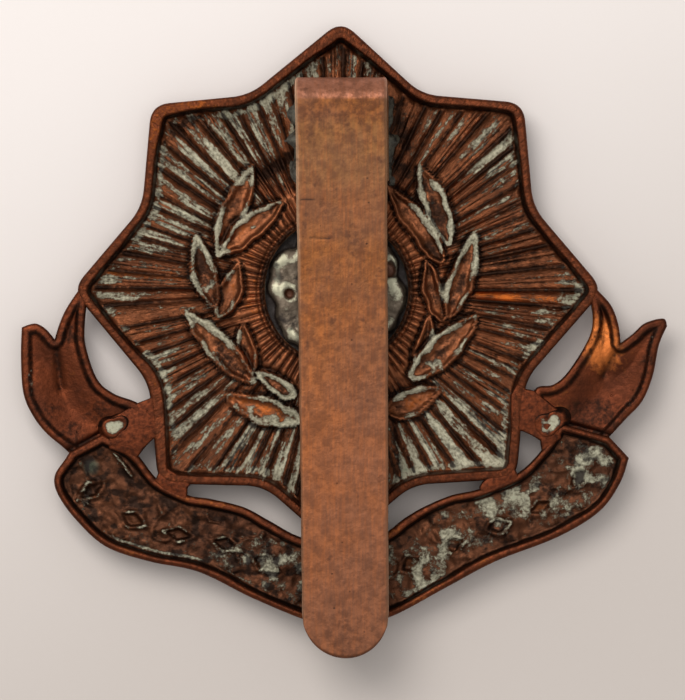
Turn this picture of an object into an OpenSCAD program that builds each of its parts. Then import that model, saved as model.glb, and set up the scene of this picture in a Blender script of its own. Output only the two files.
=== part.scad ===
// Die-struck cap badge: an eight-pointed star with a laurel wreath, a ribbon scroll and a brazed slider.
// It lies on its front. +Z points out of the back, +Y to the top of the badge as it is worn.
// The origin is the star's centre, in the plane of the back rim.

/* [Star plate] */
// Distance from the centre to a star point, before its share and its rounding
tip_r = 17.3; // [15:0.1:21]
// Distance from the centre to the corner between two star points, before its share
valley_r = 13.95; // [12.5:0.05:17]
// How far a star corner's rounding starts from the corner
corner_round = 1.2; // [0.3:0.1:1.4]
// Thickness of the struck sheet
sheet_t = 0.65; // [0.5:0.05:0.9]
// Width of the rim round the star
rim_w = 0.7; // [0.5:0.05:0.9]
// Depth of the star's tray below the back rim
tray_depth = 1.1; // [0.9:0.05:1.4]
// Depth of the struck pattern in the back, and its height on the front
relief = 0.3; // [0.15:0.05:0.4]

/* [Rays and wreath] */
// Rays between a star point and the corner beside it
rays_per_side = 5; // [3:1:7]
// Share of a ray's pitch that its groove takes
ray_share = 0.46; // [0.3:0.02:0.6]
// Radius at which the rays start
ray_start_r = 10.3; // [9.8:0.1:11]
// Gap between the end of a ray and the star's rim
ray_gap = 0.15; // [0.1:0.05:0.5]
// Number of fine rays round the rosette
fine_rays = 72; // [48:4:84]
// Length of a fine ray
fine_ray_l = 1.7; // [1:0.1:1.9]
// Scale of the wreath about the centre
wreath_scale = 1; // [0.95:0.01:1.04]
// Width of a laurel leaf
leaf_w = 1.35; // [0.9:0.05:1.6]

/* [Scroll and ribbon tails] */
// Depth of the scroll's tray below the back rim
scroll_depth = 0.9; // [0.6:0.05:1.2]
// Width of the rim round the scroll
scroll_rim_w = 0.45; // [0.35:0.05:0.6]
// Depth of the ribbon tails' hollows
tail_depth = 0.5; // [0.3:0.05:0.8]
// Width of the rim round a ribbon tail
tail_rim_w = 0.5; // [0.35:0.05:0.6]
// Length of a lozenge on the scroll
lozenge_l = 2.4; // [1.6:0.1:2.6]
// Width of a lozenge on the scroll
lozenge_w = 1.3; // [0.8:0.1:1.8]

/* [Rosette] */
// Radius of the opening that shows the rosette's back
opening_r = 4.8; // [4:0.1:4.9]
// How far the rosette's flange reaches past the opening
flange_lap = 0.7; // [0.4:0.05:0.75]
// Thickness of the rosette's sheet
rosette_t = 0.5; // [0.4:0.05:0.7]
// Number of petals
petals = 6; // [5:1:8]
// Angle of the first petal
petal_turn = 0; // [-30:1:30]
// Distance from the centre to a petal
petal_ring_r = 3; // [2.6:0.1:3.2]
// Radius of a petal's dome
petal_r = 1.3; // [0.9:0.05:1.4]
// Height of a petal's dome on the front
petal_h = 0.55; // [0.3:0.05:0.7]
// Thickness of the solder between the rosette and the plate
rosette_solder_t = 0.1; // [0.05:0.01:0.15]

/* [Slider] */
// Width of the slider strip at its bend
slider_w = 6.2; // [5:0.1:6.5]
// Width of the slider strip where its round end starts
slider_end_w = 5.85; // [4.5:0.05:6.2]
// Thickness of the slider strip
strip_t = 0.9; // [0.7:0.05:1.1]
// Height of the slider's top edge above the centre
slider_top_y = 14.1; // [13:0.05:14.2]
// Distance from the centre down to the slider's free end
slider_end_y = 24.4; // [20:0.05:30]
// Distance of the slider's middle to the right of the centre
slider_x = 0.4; // [0:0.05:0.5]
// Gap between the back rim and the slider
band_gap = 2.4; // [2.1:0.05:3]
// Outside radius of the bend at the slider's top
bend_r = 1.7; // [1.5:0.05:2]
// Angle that the bend at the slider's top turns through
bend_angle = 130; // [125:1:140]
// Outside radius of the bend at the slider's foot
foot_bend_r = 1.4; // [1.2:0.05:1.6]
// Length of the flat foot that is brazed to the plate
foot_l = 4.5; // [3:0.1:5.5]
// Thickness of the solder under the foot
slider_solder_t = 0.1; // [0.05:0.01:0.15]
// How far the solder shows round the foot
solder_fillet = 0.35; // [0.2:0.05:0.4]
// Distance from the top bend to the axis about which the strip flexes
flex_drop = 0.5; // [0.4:0.05:1]
// Clearance round the flexing end
flex_clearance = 0.03; // [0.02:0.01:0.05]

/* [Hidden] */
$fn = 64;

over = 1;                  // a cut runs this far past the face that it leaves by
sunk = sheet_t / 2;        // the front relief starts this deep inside the sheet
curve_steps = 5;           // straight steps between two points of a smooth outline
corner_steps = 4;          // straight steps round a star corner
bend_steps = 16;           // straight steps round a bend of the strip

// The star's corners: the angle of each point and of each corner between two points, and their
// reach as a share of tip_r and valley_r
tip_angles = [0, 45, 89, 135, 180, 227.3, 270, 313.7];
valley_angles = [22.9, 66.5, 114.1, 156.9, 206.3, 249.7, 291.2, 334.5];
tip_shares = [1.03, 1.02, 1.04, 1.01, 1.02, 1.015, 1, 1.005];
valley_shares = [1.02, 1.02, 1.02, 1.01, 1, 1, 1, 1];
tips = len(tip_angles);
star_corners = [
    for (i = [0:tips - 1])
        for (c = [[tip_r * tip_shares[i], tip_angles[i]], [valley_r * valley_shares[i], valley_angles[i]]])
            polar(c[0], c[1])
];
ray_ends = inset(star_corners, rim_w + ray_gap);

floor_z = -tray_depth;                      // back of the star's tray floor
front_z = floor_z - sheet_t;                // front of the star's tray floor
scroll_front_z = -scroll_depth - sheet_t;
tail_front_z = -tail_depth - sheet_t;

flange_r = opening_r + flange_lap;
fine_start_r = opening_r + 0.2;             // the fine rays start just outside the opening
fine_front_r = flange_r + 0.2;              // on the front they start outside the flange
fine_end_r = fine_start_r + fine_ray_l;
flange_z = front_z - rosette_solder_t;      // back of the rosette's flange

// Laurel leaves of the left branch, each as [tip, root]. The right branch mirrors them.
leaves = [
    [[-5.4, 8.3], [-7.7, 2.6]],
    [[-3.5, 6.3], [-7.2, 2.5]],
    [[-9.4, 3.8], [-7.8, -1.4]],
    [[-6.3, 1.9], [-7.4, -1.8]],
    [[-9.8, -1.5], [-5.3, -6.1]],
    [[-6.2, -2.2], [-5.5, -5.5]],
    [[-7.2, -6.8], [-2.8, -8.6]],
    [[-5.3, -5.7], [-2.7, -7.1]]
];

// Edges of the scroll and of the two ribbon tails, seen from the back
scroll_low = [
    [19.5, -11.2], [18.9, -12.9], [17.5, -14.8], [14.7, -16.5], [10.6, -18.1], [7.2, -19.9], [3.6, -21.8],
    [0.4, -22.6], [-2.1, -22], [-5.7, -20.5], [-9.2, -18.8], [-12.5, -18.1], [-15.4, -17.1], [-17.4, -15.3],
    [-18.6, -13.6], [-18.8, -12.4], [-18.1, -11.3]
];
scroll_high = [
    [-13.3, -11], [-11.9, -12.7], [-9.9, -13.7], [-8.4, -13.95], [-6.2, -14.5], [-4.5, -15.4], [-2.4, -16.5],
    [0.2, -16.9], [2.9, -16.4], [4.6, -15.2], [6, -14.4], [7.7, -13.7], [9.5, -13.3], [12, -12.3], [13.7, -10.7]
];
left_fold = [[-17.8, -10.8], [-15.6, -9.6]];
right_fold = [[14.9, -8.9], [18.2, -9.8]];
left_tail = concat(
    smooth([[-17.8, -10.8], [-19.3, -9.6], [-20.3, -8.3], [-20.9, -6.8], [-21.05, -4.5], [-21, -2.5]]),
    smooth([[-20, -2.25], [-19.4, -2.6], [-18.8, -3.3]]),
    smooth([[-18.5, -2.3], [-18, -1.2], [-17.2, 0]]),
    smooth([[-16.7, -0.6], [-16.8, -2.2], [-16.75, -3.7], [-16, -5.9], [-14.9, -6.9], [-13, -7.8]]),
    [[-13.2, -9.9], [-15.4, -9.9], [-17.6, -11.1]]
);
right_tail = concat(
    smooth([[18.2, -9.8], [19.3, -8.6], [20.4, -7.4], [21.1, -5.7], [21.5, -3.7], [22.05, -2.4]]),
    smooth([[21.8, -1.9], [20.6, -2.2], [19.8, -2.9], [18.95, -3.55]]),
    smooth([[18.8, -2.3], [18.3, -1], [17.2, 0.2]]),
    smooth([[16.9, -0.4], [17.1, -1.9], [16.8, -3.3], [15.5, -5.4], [14.5, -6.3], [13.2, -6.7]]),
    [[13.2, -9.2], [14.6, -9.4], [17.8, -10.1]]
);
left_web = [
    [-13.2, -7.5], [-12.4, -7.2], [-12.3, -6], [-11.6, -7], [-11.6, -9.9], [-12.2, -9.9], [-12.8, -10.5],
    [-13.3, -11.2], [-15.2, -10.6], [-15.2, -8.6]
];
right_web = [
    [13.2, -6.7], [12.6, -6.6], [12.3, -5.8], [11.6, -7], [11.6, -9.5], [12.4, -9.4], [13.6, -10], [13.7, -10.8],
    [15, -9.9], [14.8, -8]
];
// Where the star's lower corners run into the scroll
left_tie = [
    [-11.7, -11.6], [-12, -12.5], [-12.2, -12.7], [-11.6, -13.3], [-9.95, -14.1], [-9.95, -13.2], [-9.7, -12.95],
    [-10.1, -12.6]
];
right_tie = [
    [11.7, -11.6], [12, -12.1], [12.2, -12.5], [11.6, -12.9], [9.7, -13.7], [9.5, -13.2], [9.7, -12.85],
    [10.2, -12.4]
];
lozenge_places = [
    [-16.3, -13.3, 35], [-13.6, -15.3, -25], [-10.6, -16.3, -10], [-7.5, -17, -20], [-4.9, -18.2, -28],
    [5, -18.3, 30], [7.8, -17, 22], [10.8, -15.8, 18], [13.6, -14.5, 28], [16.3, -12.5, 45]
];

tongue_z = band_gap;                        // underside of the tongue
bend_z = tongue_z + strip_t - bend_r;       // centre of the top bend
bend_y = slider_top_y - bend_r;
flex_y = bend_y - flex_drop;
flex_z = tongue_z + strip_t / 2;
foot_z = floor_z + slider_solder_t;         // underside of the foot
end_round_y = -slider_end_y + slider_end_w / 2;

// The straight leg touches both bends, and its outward normal, as [z, y], gives the place of the lower one
leg_out = polar(1, bend_angle);
foot_bend_z = foot_z + foot_bend_r;
foot_bend_y = bend_y + ((bend_z - foot_bend_z) * leg_out[0] + bend_r - foot_bend_r) / leg_out[1];
foot_end_y = foot_bend_y - foot_l;

function polar(r, a) = r * [cos(a), sin(a)];
function mid(a, b, t) = a + t * (b - a);
function left_normal(a, b) = [a[1] - b[1], b[0] - a[0]] / norm(b - a);

// A closed outline moved inwards by d. Its points run anticlockwise.
function inset(p, d) = [
    for (i = [0:len(p) - 1])
        let(
            b = p[i],
            m = left_normal(p[(i + len(p) - 1) % len(p)], b),
            n = left_normal(b, p[(i + 1) % len(p)])
        )
        b + d * (m + n) / (1 + m * n)
];

// A closed outline with each corner rounded by a curve that starts a distance l from it
function rounded(p, l) = [
    for (i = [0:len(p) - 1])
        let(
            b = p[i],
            a = b + l * (p[(i + len(p) - 1) % len(p)] - b) / norm(p[(i + len(p) - 1) % len(p)] - b),
            c = b + l * (p[(i + 1) % len(p)] - b) / norm(p[(i + 1) % len(p)] - b)
        )
        for (k = [0:corner_steps])
            let(t = k / corner_steps) mid(mid(a, b, t), mid(b, c, t), t)
];

// A smooth curve through the points p
function smooth(p) = let(n = len(p)) concat(
    [
        for (i = [0:n - 2])
            let(
                b = p[i],
                c = p[i + 1],
                u = (c - p[max(i - 1, 0)]) / 2,
                v = (p[min(i + 2, n - 1)] - b) / 2
            )
            for (k = [0:curve_steps - 1])
                let(t = k / curve_steps)
                (2 * t ^ 3 - 3 * t ^ 2 + 1) * b + (t ^ 3 - 2 * t ^ 2 + t) * u
                + (3 * t ^ 2 - 2 * t ^ 3) * c + (t ^ 3 - t ^ 2) * v
    ],
    [p[n - 1]]
);

// A flat shape given a thickness t down from height z
module slab(z, t) {
    translate([0, 0, z - t]) linear_extrude(t) children();
}

module star_shape(d) {
    polygon(rounded(inset(star_corners, d), corner_round));
}

module scroll_shape() {
    polygon(concat(smooth(scroll_low), left_fold, smooth(scroll_high), right_fold));
}

// One ray between the shares s and e of the star's side that starts at corner i
module ray(i, s, e) {
    a = mid(ray_ends[i], ray_ends[(i + 1) % len(ray_ends)], s);
    b = mid(ray_ends[i], ray_ends[(i + 1) % len(ray_ends)], e);
    polygon([a, b, ray_start_r * b / norm(b), ray_start_r * a / norm(a)]);
}

module rays() {
    half = ray_share / 2;
    for (i = [0:len(ray_ends) - 1])
        for (k = [0:rays_per_side - 1])
            ray(i, (k + 0.5 - half) / rays_per_side, (k + 0.5 + half) / rays_per_side);
}

module fine_ray_ring(start_r) {
    half = ray_share / 2 * 360 / fine_rays;
    for (k = [0:fine_rays - 1]) {
        a = k * 360 / fine_rays;
        polygon([
            polar(start_r, a - half), polar(fine_end_r, a - half),
            polar(fine_end_r, a + half), polar(start_r, a + half)
        ]);
    }
}

// A leaf is where two equal circles overlap
module leaf(tip, root) {
    l = norm(tip - root);
    r = (l * l + leaf_w * leaf_w) / (4 * leaf_w);
    translate((tip + root) / 2)
        rotate(atan2(tip[1] - root[1], tip[0] - root[0]))
            intersection() {
                translate([0, r - leaf_w / 2]) circle(r);
                translate([0, leaf_w / 2 - r]) circle(r);
            }
}

module wreath() {
    for (side = [0, 1])
        mirror([side, 0])
            for (l = leaves)
                leaf(l[0] * wreath_scale, l[1] * wreath_scale);
}

module lozenges() {
    for (p = lozenge_places)
        translate([p[0], p[1]])
            rotate(p[2])
                polygon([[lozenge_l / 2, 0], [0, lozenge_w / 2], [-lozenge_l / 2, 0], [0, -lozenge_w / 2]]);
}

module star_plate() {
    color("saddlebrown")
    difference() {
        union() {
            slab(0, -front_z) star_shape(0);
            slab(0, -scroll_front_z) scroll_shape();
            slab(0, -tail_front_z) {
                polygon(left_tail);
                polygon(right_tail);
                for (p = [left_web, right_web, left_tie, right_tie]) polygon(p);
            }
            slab(front_z + sunk, sunk + relief) {
                rays();
                fine_ray_ring(fine_front_r);
                wreath();
            }
            slab(scroll_front_z + sunk, sunk + relief) lozenges();
        }
        slab(over, over + tray_depth) star_shape(rim_w);
        slab(over, over + scroll_depth) offset(delta = -scroll_rim_w) difference() {
            scroll_shape();
            star_shape(0);
        }
        slab(over, over + tail_depth)
            for (tail = [left_tail, right_tail])
                offset(delta = -tail_rim_w) difference() {
                    polygon(tail);
                    star_shape(0);
                    scroll_shape();
                }
        slab(0, tray_depth + relief) {
            rays();
            fine_ray_ring(fine_start_r);
            wreath();
        }
        slab(0, scroll_depth + relief) lozenges();
        translate([0, 0, front_z - over]) cylinder(h = sheet_t + 2 * over, r = opening_r);
    }
}

module centre_rosette() {
    front = flange_z - rosette_t;
    // The sphere that gives a petal its height and radius
    dome_r = (petal_r ^ 2 + petal_h ^ 2) / (2 * petal_h);
    hollow_r = dome_r * 0.8;
    color("darkgray")
    difference() {
        union() {
            translate([0, 0, front]) cylinder(h = rosette_t, r = flange_r);
            for (k = [0:petals])
                translate(petal_place(k) + [0, 0, front - petal_h + dome_r])
                    intersection() {
                        sphere(dome_r);
                        translate([-petal_r, -petal_r, -dome_r])
                            cube([2 * petal_r, 2 * petal_r, petal_h + rosette_t / 2]);
                    }
        }
        for (k = [0:petals])
            translate(petal_place(k) + [0, 0, front - petal_h / 2 + hollow_r]) sphere(hollow_r);
    }
}

// The last petal is the boss in the middle
function petal_place(k) =
    let(c = k == petals ? [0, 0] : polar(petal_ring_r, petal_turn + k * 360 / petals)) [c[0], c[1], 0];

module rosette_solder() {
    color("gray")
    translate([0, 0, flange_z])
        difference() {
            cylinder(h = rosette_solder_t, r = flange_r);
            translate([0, 0, -over]) cylinder(h = rosette_solder_t + 2 * over, r = opening_r);
        }
}

// The strip's side view is drawn as [z, y] and given its width along X
module across(w) {
    translate([slider_x - w / 2, 0, 0]) multmatrix([[0, 0, 1, 0], [0, 1, 0, 0], [1, 0, 0, 0], [0, 0, 0, 1]])
        linear_extrude(w) children();
}

// Points round a bend, whose outward normal turns from angle a to angle b
function bend(centre, r, a, b) = [for (k = [0:bend_steps]) centre + polar(r, mid(a, b, k / bend_steps))];

module slider_side() {
    top = [bend_z, bend_y];
    low = [foot_bend_z, foot_bend_y];
    polygon(concat(
        [[tongue_z + strip_t, flex_y]],
        bend(top, bend_r, 0, bend_angle),
        bend(low, foot_bend_r, bend_angle, 180),
        [[foot_z, foot_end_y], [foot_z + strip_t, foot_end_y]],
        bend(low, foot_bend_r - strip_t, 180, bend_angle),
        bend(top, bend_r - strip_t, bend_angle, 0),
        [[tongue_z, flex_y]]
    ));
}

module slider_foot() {
    color("peru")
    difference() {
        across(slider_w) slider_side();
        across(slider_w + 2 * over) translate([flex_z, flex_y]) circle(strip_t / 2 + flex_clearance);
    }
}

module slider_tongue() {
    half_w = slider_w / 2;
    half_end = slider_end_w / 2;
    color("peru")
    union() {
        across(slider_w) translate([flex_z, flex_y]) circle(strip_t / 2);
        translate([slider_x, 0, 0]) slab(tongue_z + strip_t, strip_t) {
            polygon([[-half_w, flex_y], [-half_end, end_round_y], [half_end, end_round_y], [half_w, flex_y]]);
            translate([0, end_round_y]) circle(half_end);
        }
    }
}

module slider_solder() {
    half = slider_w / 2;
    color("darkkhaki")
    union() {
        slab(foot_z, slider_solder_t)
            translate([slider_x - half - solder_fillet, foot_end_y - solder_fillet])
                square([slider_w + 2 * solder_fillet, foot_l + solder_fillet]);
        for (side = [-1, 1])
            translate([slider_x + side * half, foot_bend_y, foot_z])
                rotate([90, 0, 0])
                    linear_extrude(foot_l)
                        polygon([[0, 0], [side * solder_fillet, 0], [0, solder_fillet]]);
    }
}

star_plate();
centre_rosette();
rosette_solder();
slider_foot();
slider_tongue();
slider_solder();
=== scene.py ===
"""The surfaces of a die-struck star cap badge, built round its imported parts.

The file is laid out as an add-on and run as a script. Lengths are metres in the properties and
millimetres in the shaping code, in the badge's own frame: the back rim lies at z = 0, +Z points out of
the back and +Y to the top of the badge. Around the star's centre the wreath, rays and rosette turn.
"""

import bmesh
import bpy
import numpy as np
from bpy.props import FloatProperty, FloatVectorProperty, IntProperty, PointerProperty
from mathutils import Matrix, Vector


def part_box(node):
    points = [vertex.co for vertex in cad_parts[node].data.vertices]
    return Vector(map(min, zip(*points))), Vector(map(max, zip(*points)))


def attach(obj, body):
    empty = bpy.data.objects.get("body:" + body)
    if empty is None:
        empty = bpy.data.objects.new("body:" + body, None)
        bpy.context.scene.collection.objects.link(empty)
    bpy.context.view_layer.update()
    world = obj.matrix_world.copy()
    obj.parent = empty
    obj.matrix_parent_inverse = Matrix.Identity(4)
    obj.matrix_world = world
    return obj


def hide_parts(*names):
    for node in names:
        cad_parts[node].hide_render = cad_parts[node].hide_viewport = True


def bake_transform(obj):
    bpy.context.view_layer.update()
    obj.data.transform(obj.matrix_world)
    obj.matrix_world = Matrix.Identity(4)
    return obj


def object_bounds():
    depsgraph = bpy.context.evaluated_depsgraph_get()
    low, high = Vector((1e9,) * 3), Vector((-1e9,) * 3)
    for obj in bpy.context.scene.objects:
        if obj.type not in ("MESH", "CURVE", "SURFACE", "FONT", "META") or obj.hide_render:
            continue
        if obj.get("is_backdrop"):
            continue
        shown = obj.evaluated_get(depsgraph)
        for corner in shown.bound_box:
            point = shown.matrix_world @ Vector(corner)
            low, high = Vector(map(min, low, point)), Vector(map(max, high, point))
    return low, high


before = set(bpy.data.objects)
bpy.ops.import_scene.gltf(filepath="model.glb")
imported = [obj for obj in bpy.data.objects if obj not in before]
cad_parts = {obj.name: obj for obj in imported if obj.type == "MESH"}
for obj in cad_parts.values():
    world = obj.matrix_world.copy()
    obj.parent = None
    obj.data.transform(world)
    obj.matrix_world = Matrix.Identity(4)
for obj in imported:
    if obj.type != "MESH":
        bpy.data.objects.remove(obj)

bl_info = {
    "name": "Star Cap Badge",
    "version": (1, 0, 0),
    "blender": (4, 5, 0),
    "location": "3D View > Sidebar > Badge",
    "description": "Builds the struck, brazed and weathered surfaces of a star cap badge",
    "category": "Object",
}

MM = 0.001

# The star's corners: the angle of each point and of the corner after it, and their reach as a share of
# the star's two sizes
TIP_ANGLES = (0, 45, 89, 135, 180, 227.3, 270, 313.7)
VALLEY_ANGLES = (22.9, 66.5, 114.1, 156.9, 206.3, 249.7, 291.2, 334.5)
TIP_SHARES = (1.03, 1.02, 1.04, 1.01, 1.02, 1.015, 1, 1.005)
VALLEY_SHARES = (1.02, 1.02, 1.02, 1.01, 1, 1, 1, 1)

# Laurel leaves as (tip, root, width, bow, glow), in millimetres. A later leaf lies over an earlier one, and
# glow is how far its hollow is rubbed bright.
LEAVES = (
    ((-5.5, 8.4), (-7.9, 2.1), 1.7, 0.15, 0.1),
    ((-3.4, 5.9), (-7.6, 2.4), 1.7, 0.2, 0.45),
    ((-6.5, 1.9), (-7.9, -1.9), 1.5, -0.1, 0.5),
    ((-9.5, 3.8), (-8.1, -1.2), 1.6, 0.1, 0.1),
    ((-6.3, -2.2), (-5.6, -5.7), 1.25, 0.1, 0.2),
    ((-10.2, -1.3), (-5.4, -6.3), 1.7, 0.1, 0.2),
    ((-5.4, -5.4), (-2.7, -7.2), 1.2, 0, 0.1),
    ((-7.6, -6.9), (-2.3, -8.8), 1.8, 0.2, 0.7),
    ((5.4, 8.4), (7.6, 2.9), 1.7, -0.15, 0.1),
    ((3.3, 7.0), (7.1, 1.7), 1.6, -0.2, 0.3),
    ((6.0, 2.1), (7.1, -2.2), 1.3, 0.1, 0.4),
    ((9.3, 3.9), (7.4, -1.9), 1.7, -0.1, 0.25),
    ((6.3, -1.6), (5.3, -5.8), 1.2, -0.1, 0.3),
    ((9.5, -1.6), (4.9, -6.0), 2.0, -0.1, 0.35),
    ((7.0, -6.5), (3.2, -8.2), 1.8, -0.15, 0.5),
)

# Edges of the scroll and of the ribbon tails, from the left to the right or from the fold to the tip
SCROLL_LOW = (
    (-18.1, -11.3), (-18.8, -12.4), (-18.6, -13.6), (-17.4, -15.3), (-15.4, -17.1), (-12.5, -18.1),
    (-9.2, -18.8), (-5.7, -20.5), (-2.1, -22), (0.4, -22.6), (3.6, -21.8), (7.2, -19.9), (10.6, -18.1),
    (14.7, -16.5), (17.5, -14.8), (18.9, -12.9), (19.5, -11.2),
)
SCROLL_HIGH = (
    (-15.6, -9.6), (-14.5, -10.2), (-13.3, -11), (-11.9, -12.7), (-9.9, -13.7), (-8.4, -13.95),
    (-6.2, -14.5), (-4.5, -15.4), (-2.4, -16.5), (0.2, -16.9), (2.9, -16.4), (4.6, -15.2), (6, -14.4),
    (7.7, -13.7), (9.5, -13.3), (12, -12.3), (13.7, -10.7), (14.9, -8.9),
)
LEFT_TAIL = {
    "outer": ((-17.8, -10.8), (-19.3, -9.6), (-20.3, -8.3), (-20.9, -6.8), (-21.05, -4.5), (-21, -2.5)),
    "notch": (
        ((-21, -2.5), (-20.5, -2.3), (-20, -2.25), (-19.4, -2.6), (-18.8, -3.3)),
        ((-18.8, -3.3), (-18.5, -2.3), (-18, -1.2), (-17.2, 0)),
    ),
    "inner": (
        (-13.2, -9.9), (-13, -7.8), (-14.9, -6.9), (-16, -5.9), (-16.75, -3.7), (-16.8, -2.2),
        (-16.7, -0.6), (-17.2, 0),
    ),
    "fold": ((-17.8, -10.8), (-17.6, -11.1), (-15.4, -9.9), (-13.2, -9.9)),
}
RIGHT_TAIL = {
    "outer": ((18.2, -9.8), (19.3, -8.6), (20.4, -7.4), (21.1, -5.7), (21.5, -3.7), (22.05, -2.4)),
    "notch": (
        ((22.05, -2.4), (21.8, -1.9), (20.6, -2.2), (19.8, -2.9), (18.95, -3.55)),
        ((18.95, -3.55), (18.8, -2.3), (18.3, -1), (17.2, 0.2)),
    ),
    "inner": (
        (13.2, -9.2), (13.2, -6.7), (14.5, -6.3), (15.5, -5.4), (16.8, -3.3), (17.1, -1.9), (16.9, -0.4),
        (17.2, 0.2),
    ),
    "fold": ((18.2, -9.8), (17.8, -10.1), (14.6, -9.4), (13.2, -9.2)),
}
LEFT_WEB = (
    (-13.2, -7.5), (-12.4, -7.2), (-12.3, -6), (-11.6, -7), (-11.6, -9.9), (-12.2, -9.9), (-12.8, -10.5),
    (-13.3, -11.2), (-15.2, -10.6), (-15.2, -8.6),
)
RIGHT_WEB = (
    (13.2, -6.7), (12.6, -6.6), (12.3, -5.8), (11.6, -7), (11.6, -9.5), (12.4, -9.4), (13.6, -10),
    (13.7, -10.8), (15, -9.9), (14.8, -8),
)
LEFT_TIE = (
    (-11.7, -11.6), (-12, -12.5), (-12.2, -12.7), (-11.6, -13.3), (-9.95, -14.1), (-9.95, -13.2),
    (-9.7, -12.95), (-10.1, -12.6),
)
RIGHT_TIE = (
    (11.7, -11.6), (12, -12.1), (12.2, -12.5), (11.6, -12.9), (9.7, -13.7), (9.5, -13.2), (9.7, -12.85),
    (10.2, -12.4),
)
LOZENGES = (
    (-16.3, -13.3, 35), (-13.6, -15.3, -25), (-10.6, -16.3, -10), (-7.5, -17, -20), (-4.9, -18.2, -28),
    (5, -18.3, 30), (7.8, -17, 22), (10.8, -15.8, 18), (13.6, -14.5, 28), (16.3, -12.5, 45),
)

# The hollows in the rosette's back, as (angle in degrees, distance from the centre, radius)
HOLLOWS = (
    (184, 3.2, 0.42), (22, 3.7, 0.6), (64, 3.2, 0.5), (238, 3.1, 0.5), (300, 3.2, 0.45), (126, 3.2, 0.5),
)

# Where the pale crust is thick, the verdigris is green and the rims are pale or wide, as
# (x, y, spread, strength), in millimetres
CRUST_PLACES = (
    (-5.0, 11.2, 2.6, 1.0), (-9.3, 5.9, 2.2, 0.8), (-12.6, 4.0, 1.2, 0.9), (-14.8, -0.6, 1.7, 0.7),
    (-12.4, -5.4, 1.8, 0.9), (-9.4, -9.4, 3.0, 0.7), (-4.0, -12.0, 2.4, 0.85), (10.2, 9.4, 1.3, 1.0),
    (13.2, 7.2, 1.8, 0.5), (15.4, -0.1, 1.0, 1.0), (12.9, -3.4, 1.6, 0.8), (10.6, -9.6, 2.2, 0.8),
    (4.8, -11.8, 1.8, 0.9), (1.5, 15.2, 2.2, 0.5), (-11.5, 10.2, 2.2, 0.5), (7.0, -12.2, 1.8, 0.8),
    (-2.9, 13.2, 1.5, 0.8), (9.0, 3.5, 1.4, 0.4), (11.0, -12.0, 1.2, 0.9), (-7.9, 7.3, 0.7, 1.0),
    (-11.6, 6.6, 1.6, 0.6), (8.2, -7.6, 1.6, 0.45), (7.6, 10.8, 1.4, 0.35),
)
LEAF_CRUST_PLACES = (
    (-5.7, 3.9, 0.25, 0.8), (-5.4, 4.1, 0.25, 0.9), (-3.7, 5.6, 0.45, 0.9), (-9.3, -1.5, 0.6, 0.9),
    (-7.6, -2.4, 0.5, 0.9), (-4.9, 7.6, 0.5, 0.5), (-6.3, 5.2, 0.35, 0.8), (-8.6, 0.3, 0.4, 0.8),
    (-6.7, -7.7, 0.35, 1.0), (-5.6, -8.3, 0.35, 1.0), (-4.5, -8.8, 0.4, 1.0), (-3.2, -9.1, 0.5, 1.0),
    (-5.0, -6.3, 0.4, 0.7), (6.5, -5.1, 0.5, 1.0), (4.1, -6.3, 0.5, 0.7), (7.2, 0.6, 0.35, 0.7),
    (9.0, 2.0, 0.4, 0.5), (6.3, 6.0, 0.4, 0.5), (-6.9, 1.2, 0.3, 0.8), (-8.0, -4.0, 0.4, 0.6),
)
GREEN_PLACES = (
    (-16.4, -11.8, 0.8, 0.95), (15.6, -0.3, 0.8, 0.55), (15.2, -12.2, 1.3, 0.35), (12.5, -14.2, 1.3, 0.4),
    (-7.6, -9.9, 0.7, 0.4), (4.6, -12.0, 0.9, 0.4), (17.3, -13.2, 1.0, 0.3), (-10.8, -10.4, 0.8, 0.3),
    (-4.2, 10.6, 1.2, 0.3), (14.2, -9.0, 0.6, 0.3),
)
SCROLL_CRUST_PLACES = (
    (-14.0, -11.6, 0.8, 0.6), (-13.6, -16.6, 1.6, 0.4), (-9.4, -17.7, 1.6, 0.55), (-5.4, -17.4, 1.6, 0.6),
    (-3.0, -19.2, 1.6, 0.9), (15.6, -12.6, 2.0, 0.75), (12.2, -14.8, 1.8, 0.6), (8.6, -16.2, 1.6, 0.4),
    (4.8, -18.6, 1.8, 0.75), (17.6, -11.6, 1.2, 0.7), (7.4, -16.4, 1.2, 0.45), (-17.0, -13.6, 1.0, 0.5),
    (5.8, -20.2, 1.2, 0.6), (10.6, -13.8, 0.9, 0.8),
)
PALE_RIM_PLACES = (
    (-13.9, -16.9, 1.4, 1.0), (-11.6, -17.6, 1.3, 1.0), (-9.6, -18.0, 1.0, 0.9), (-6.6, -19.4, 1.0, 0.8),
    (-16.9, -14.8, 0.8, 0.5), (17.6, -14.0, 1.2, 0.5),
)
WIDE_RIM_PLACES = (
    (-11.6, -8.8, 2.2, 0.9), (12.2, -8.8, 2.2, 0.6), (-12.2, 11.6, 1.3, 1.0), (12.4, 11.6, 1.0, 0.6),
    (0, 16.6, 1.4, 0.9), (-12.6, -5.4, 1.5, 0.5),
)
# The creases at the scroll's left end, as (start, end, width, strength)
SCROLL_FOLDS = (((-15.5, -10.0), (-13.7, -12.4), 0.13, 1.0), ((-15.0, -9.9), (-13.2, -12.1), 0.1, 0.7))
# Where the left shoulder's rim and the right tail are rubbed bright, as (x, y, spread, strength)
FRESH_RIM_PLACES = ((-12.4, 11.4, 1.5, 0.4), (-9.0, 12.2, 1.8, 0.2))
FRESH_TAIL_PLACES = ((17.5, -2.8, 0.8, 1.0), (17.8, -4.2, 0.8, 1.0), (15.2, -8.0, 1.2, 0.4))
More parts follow.
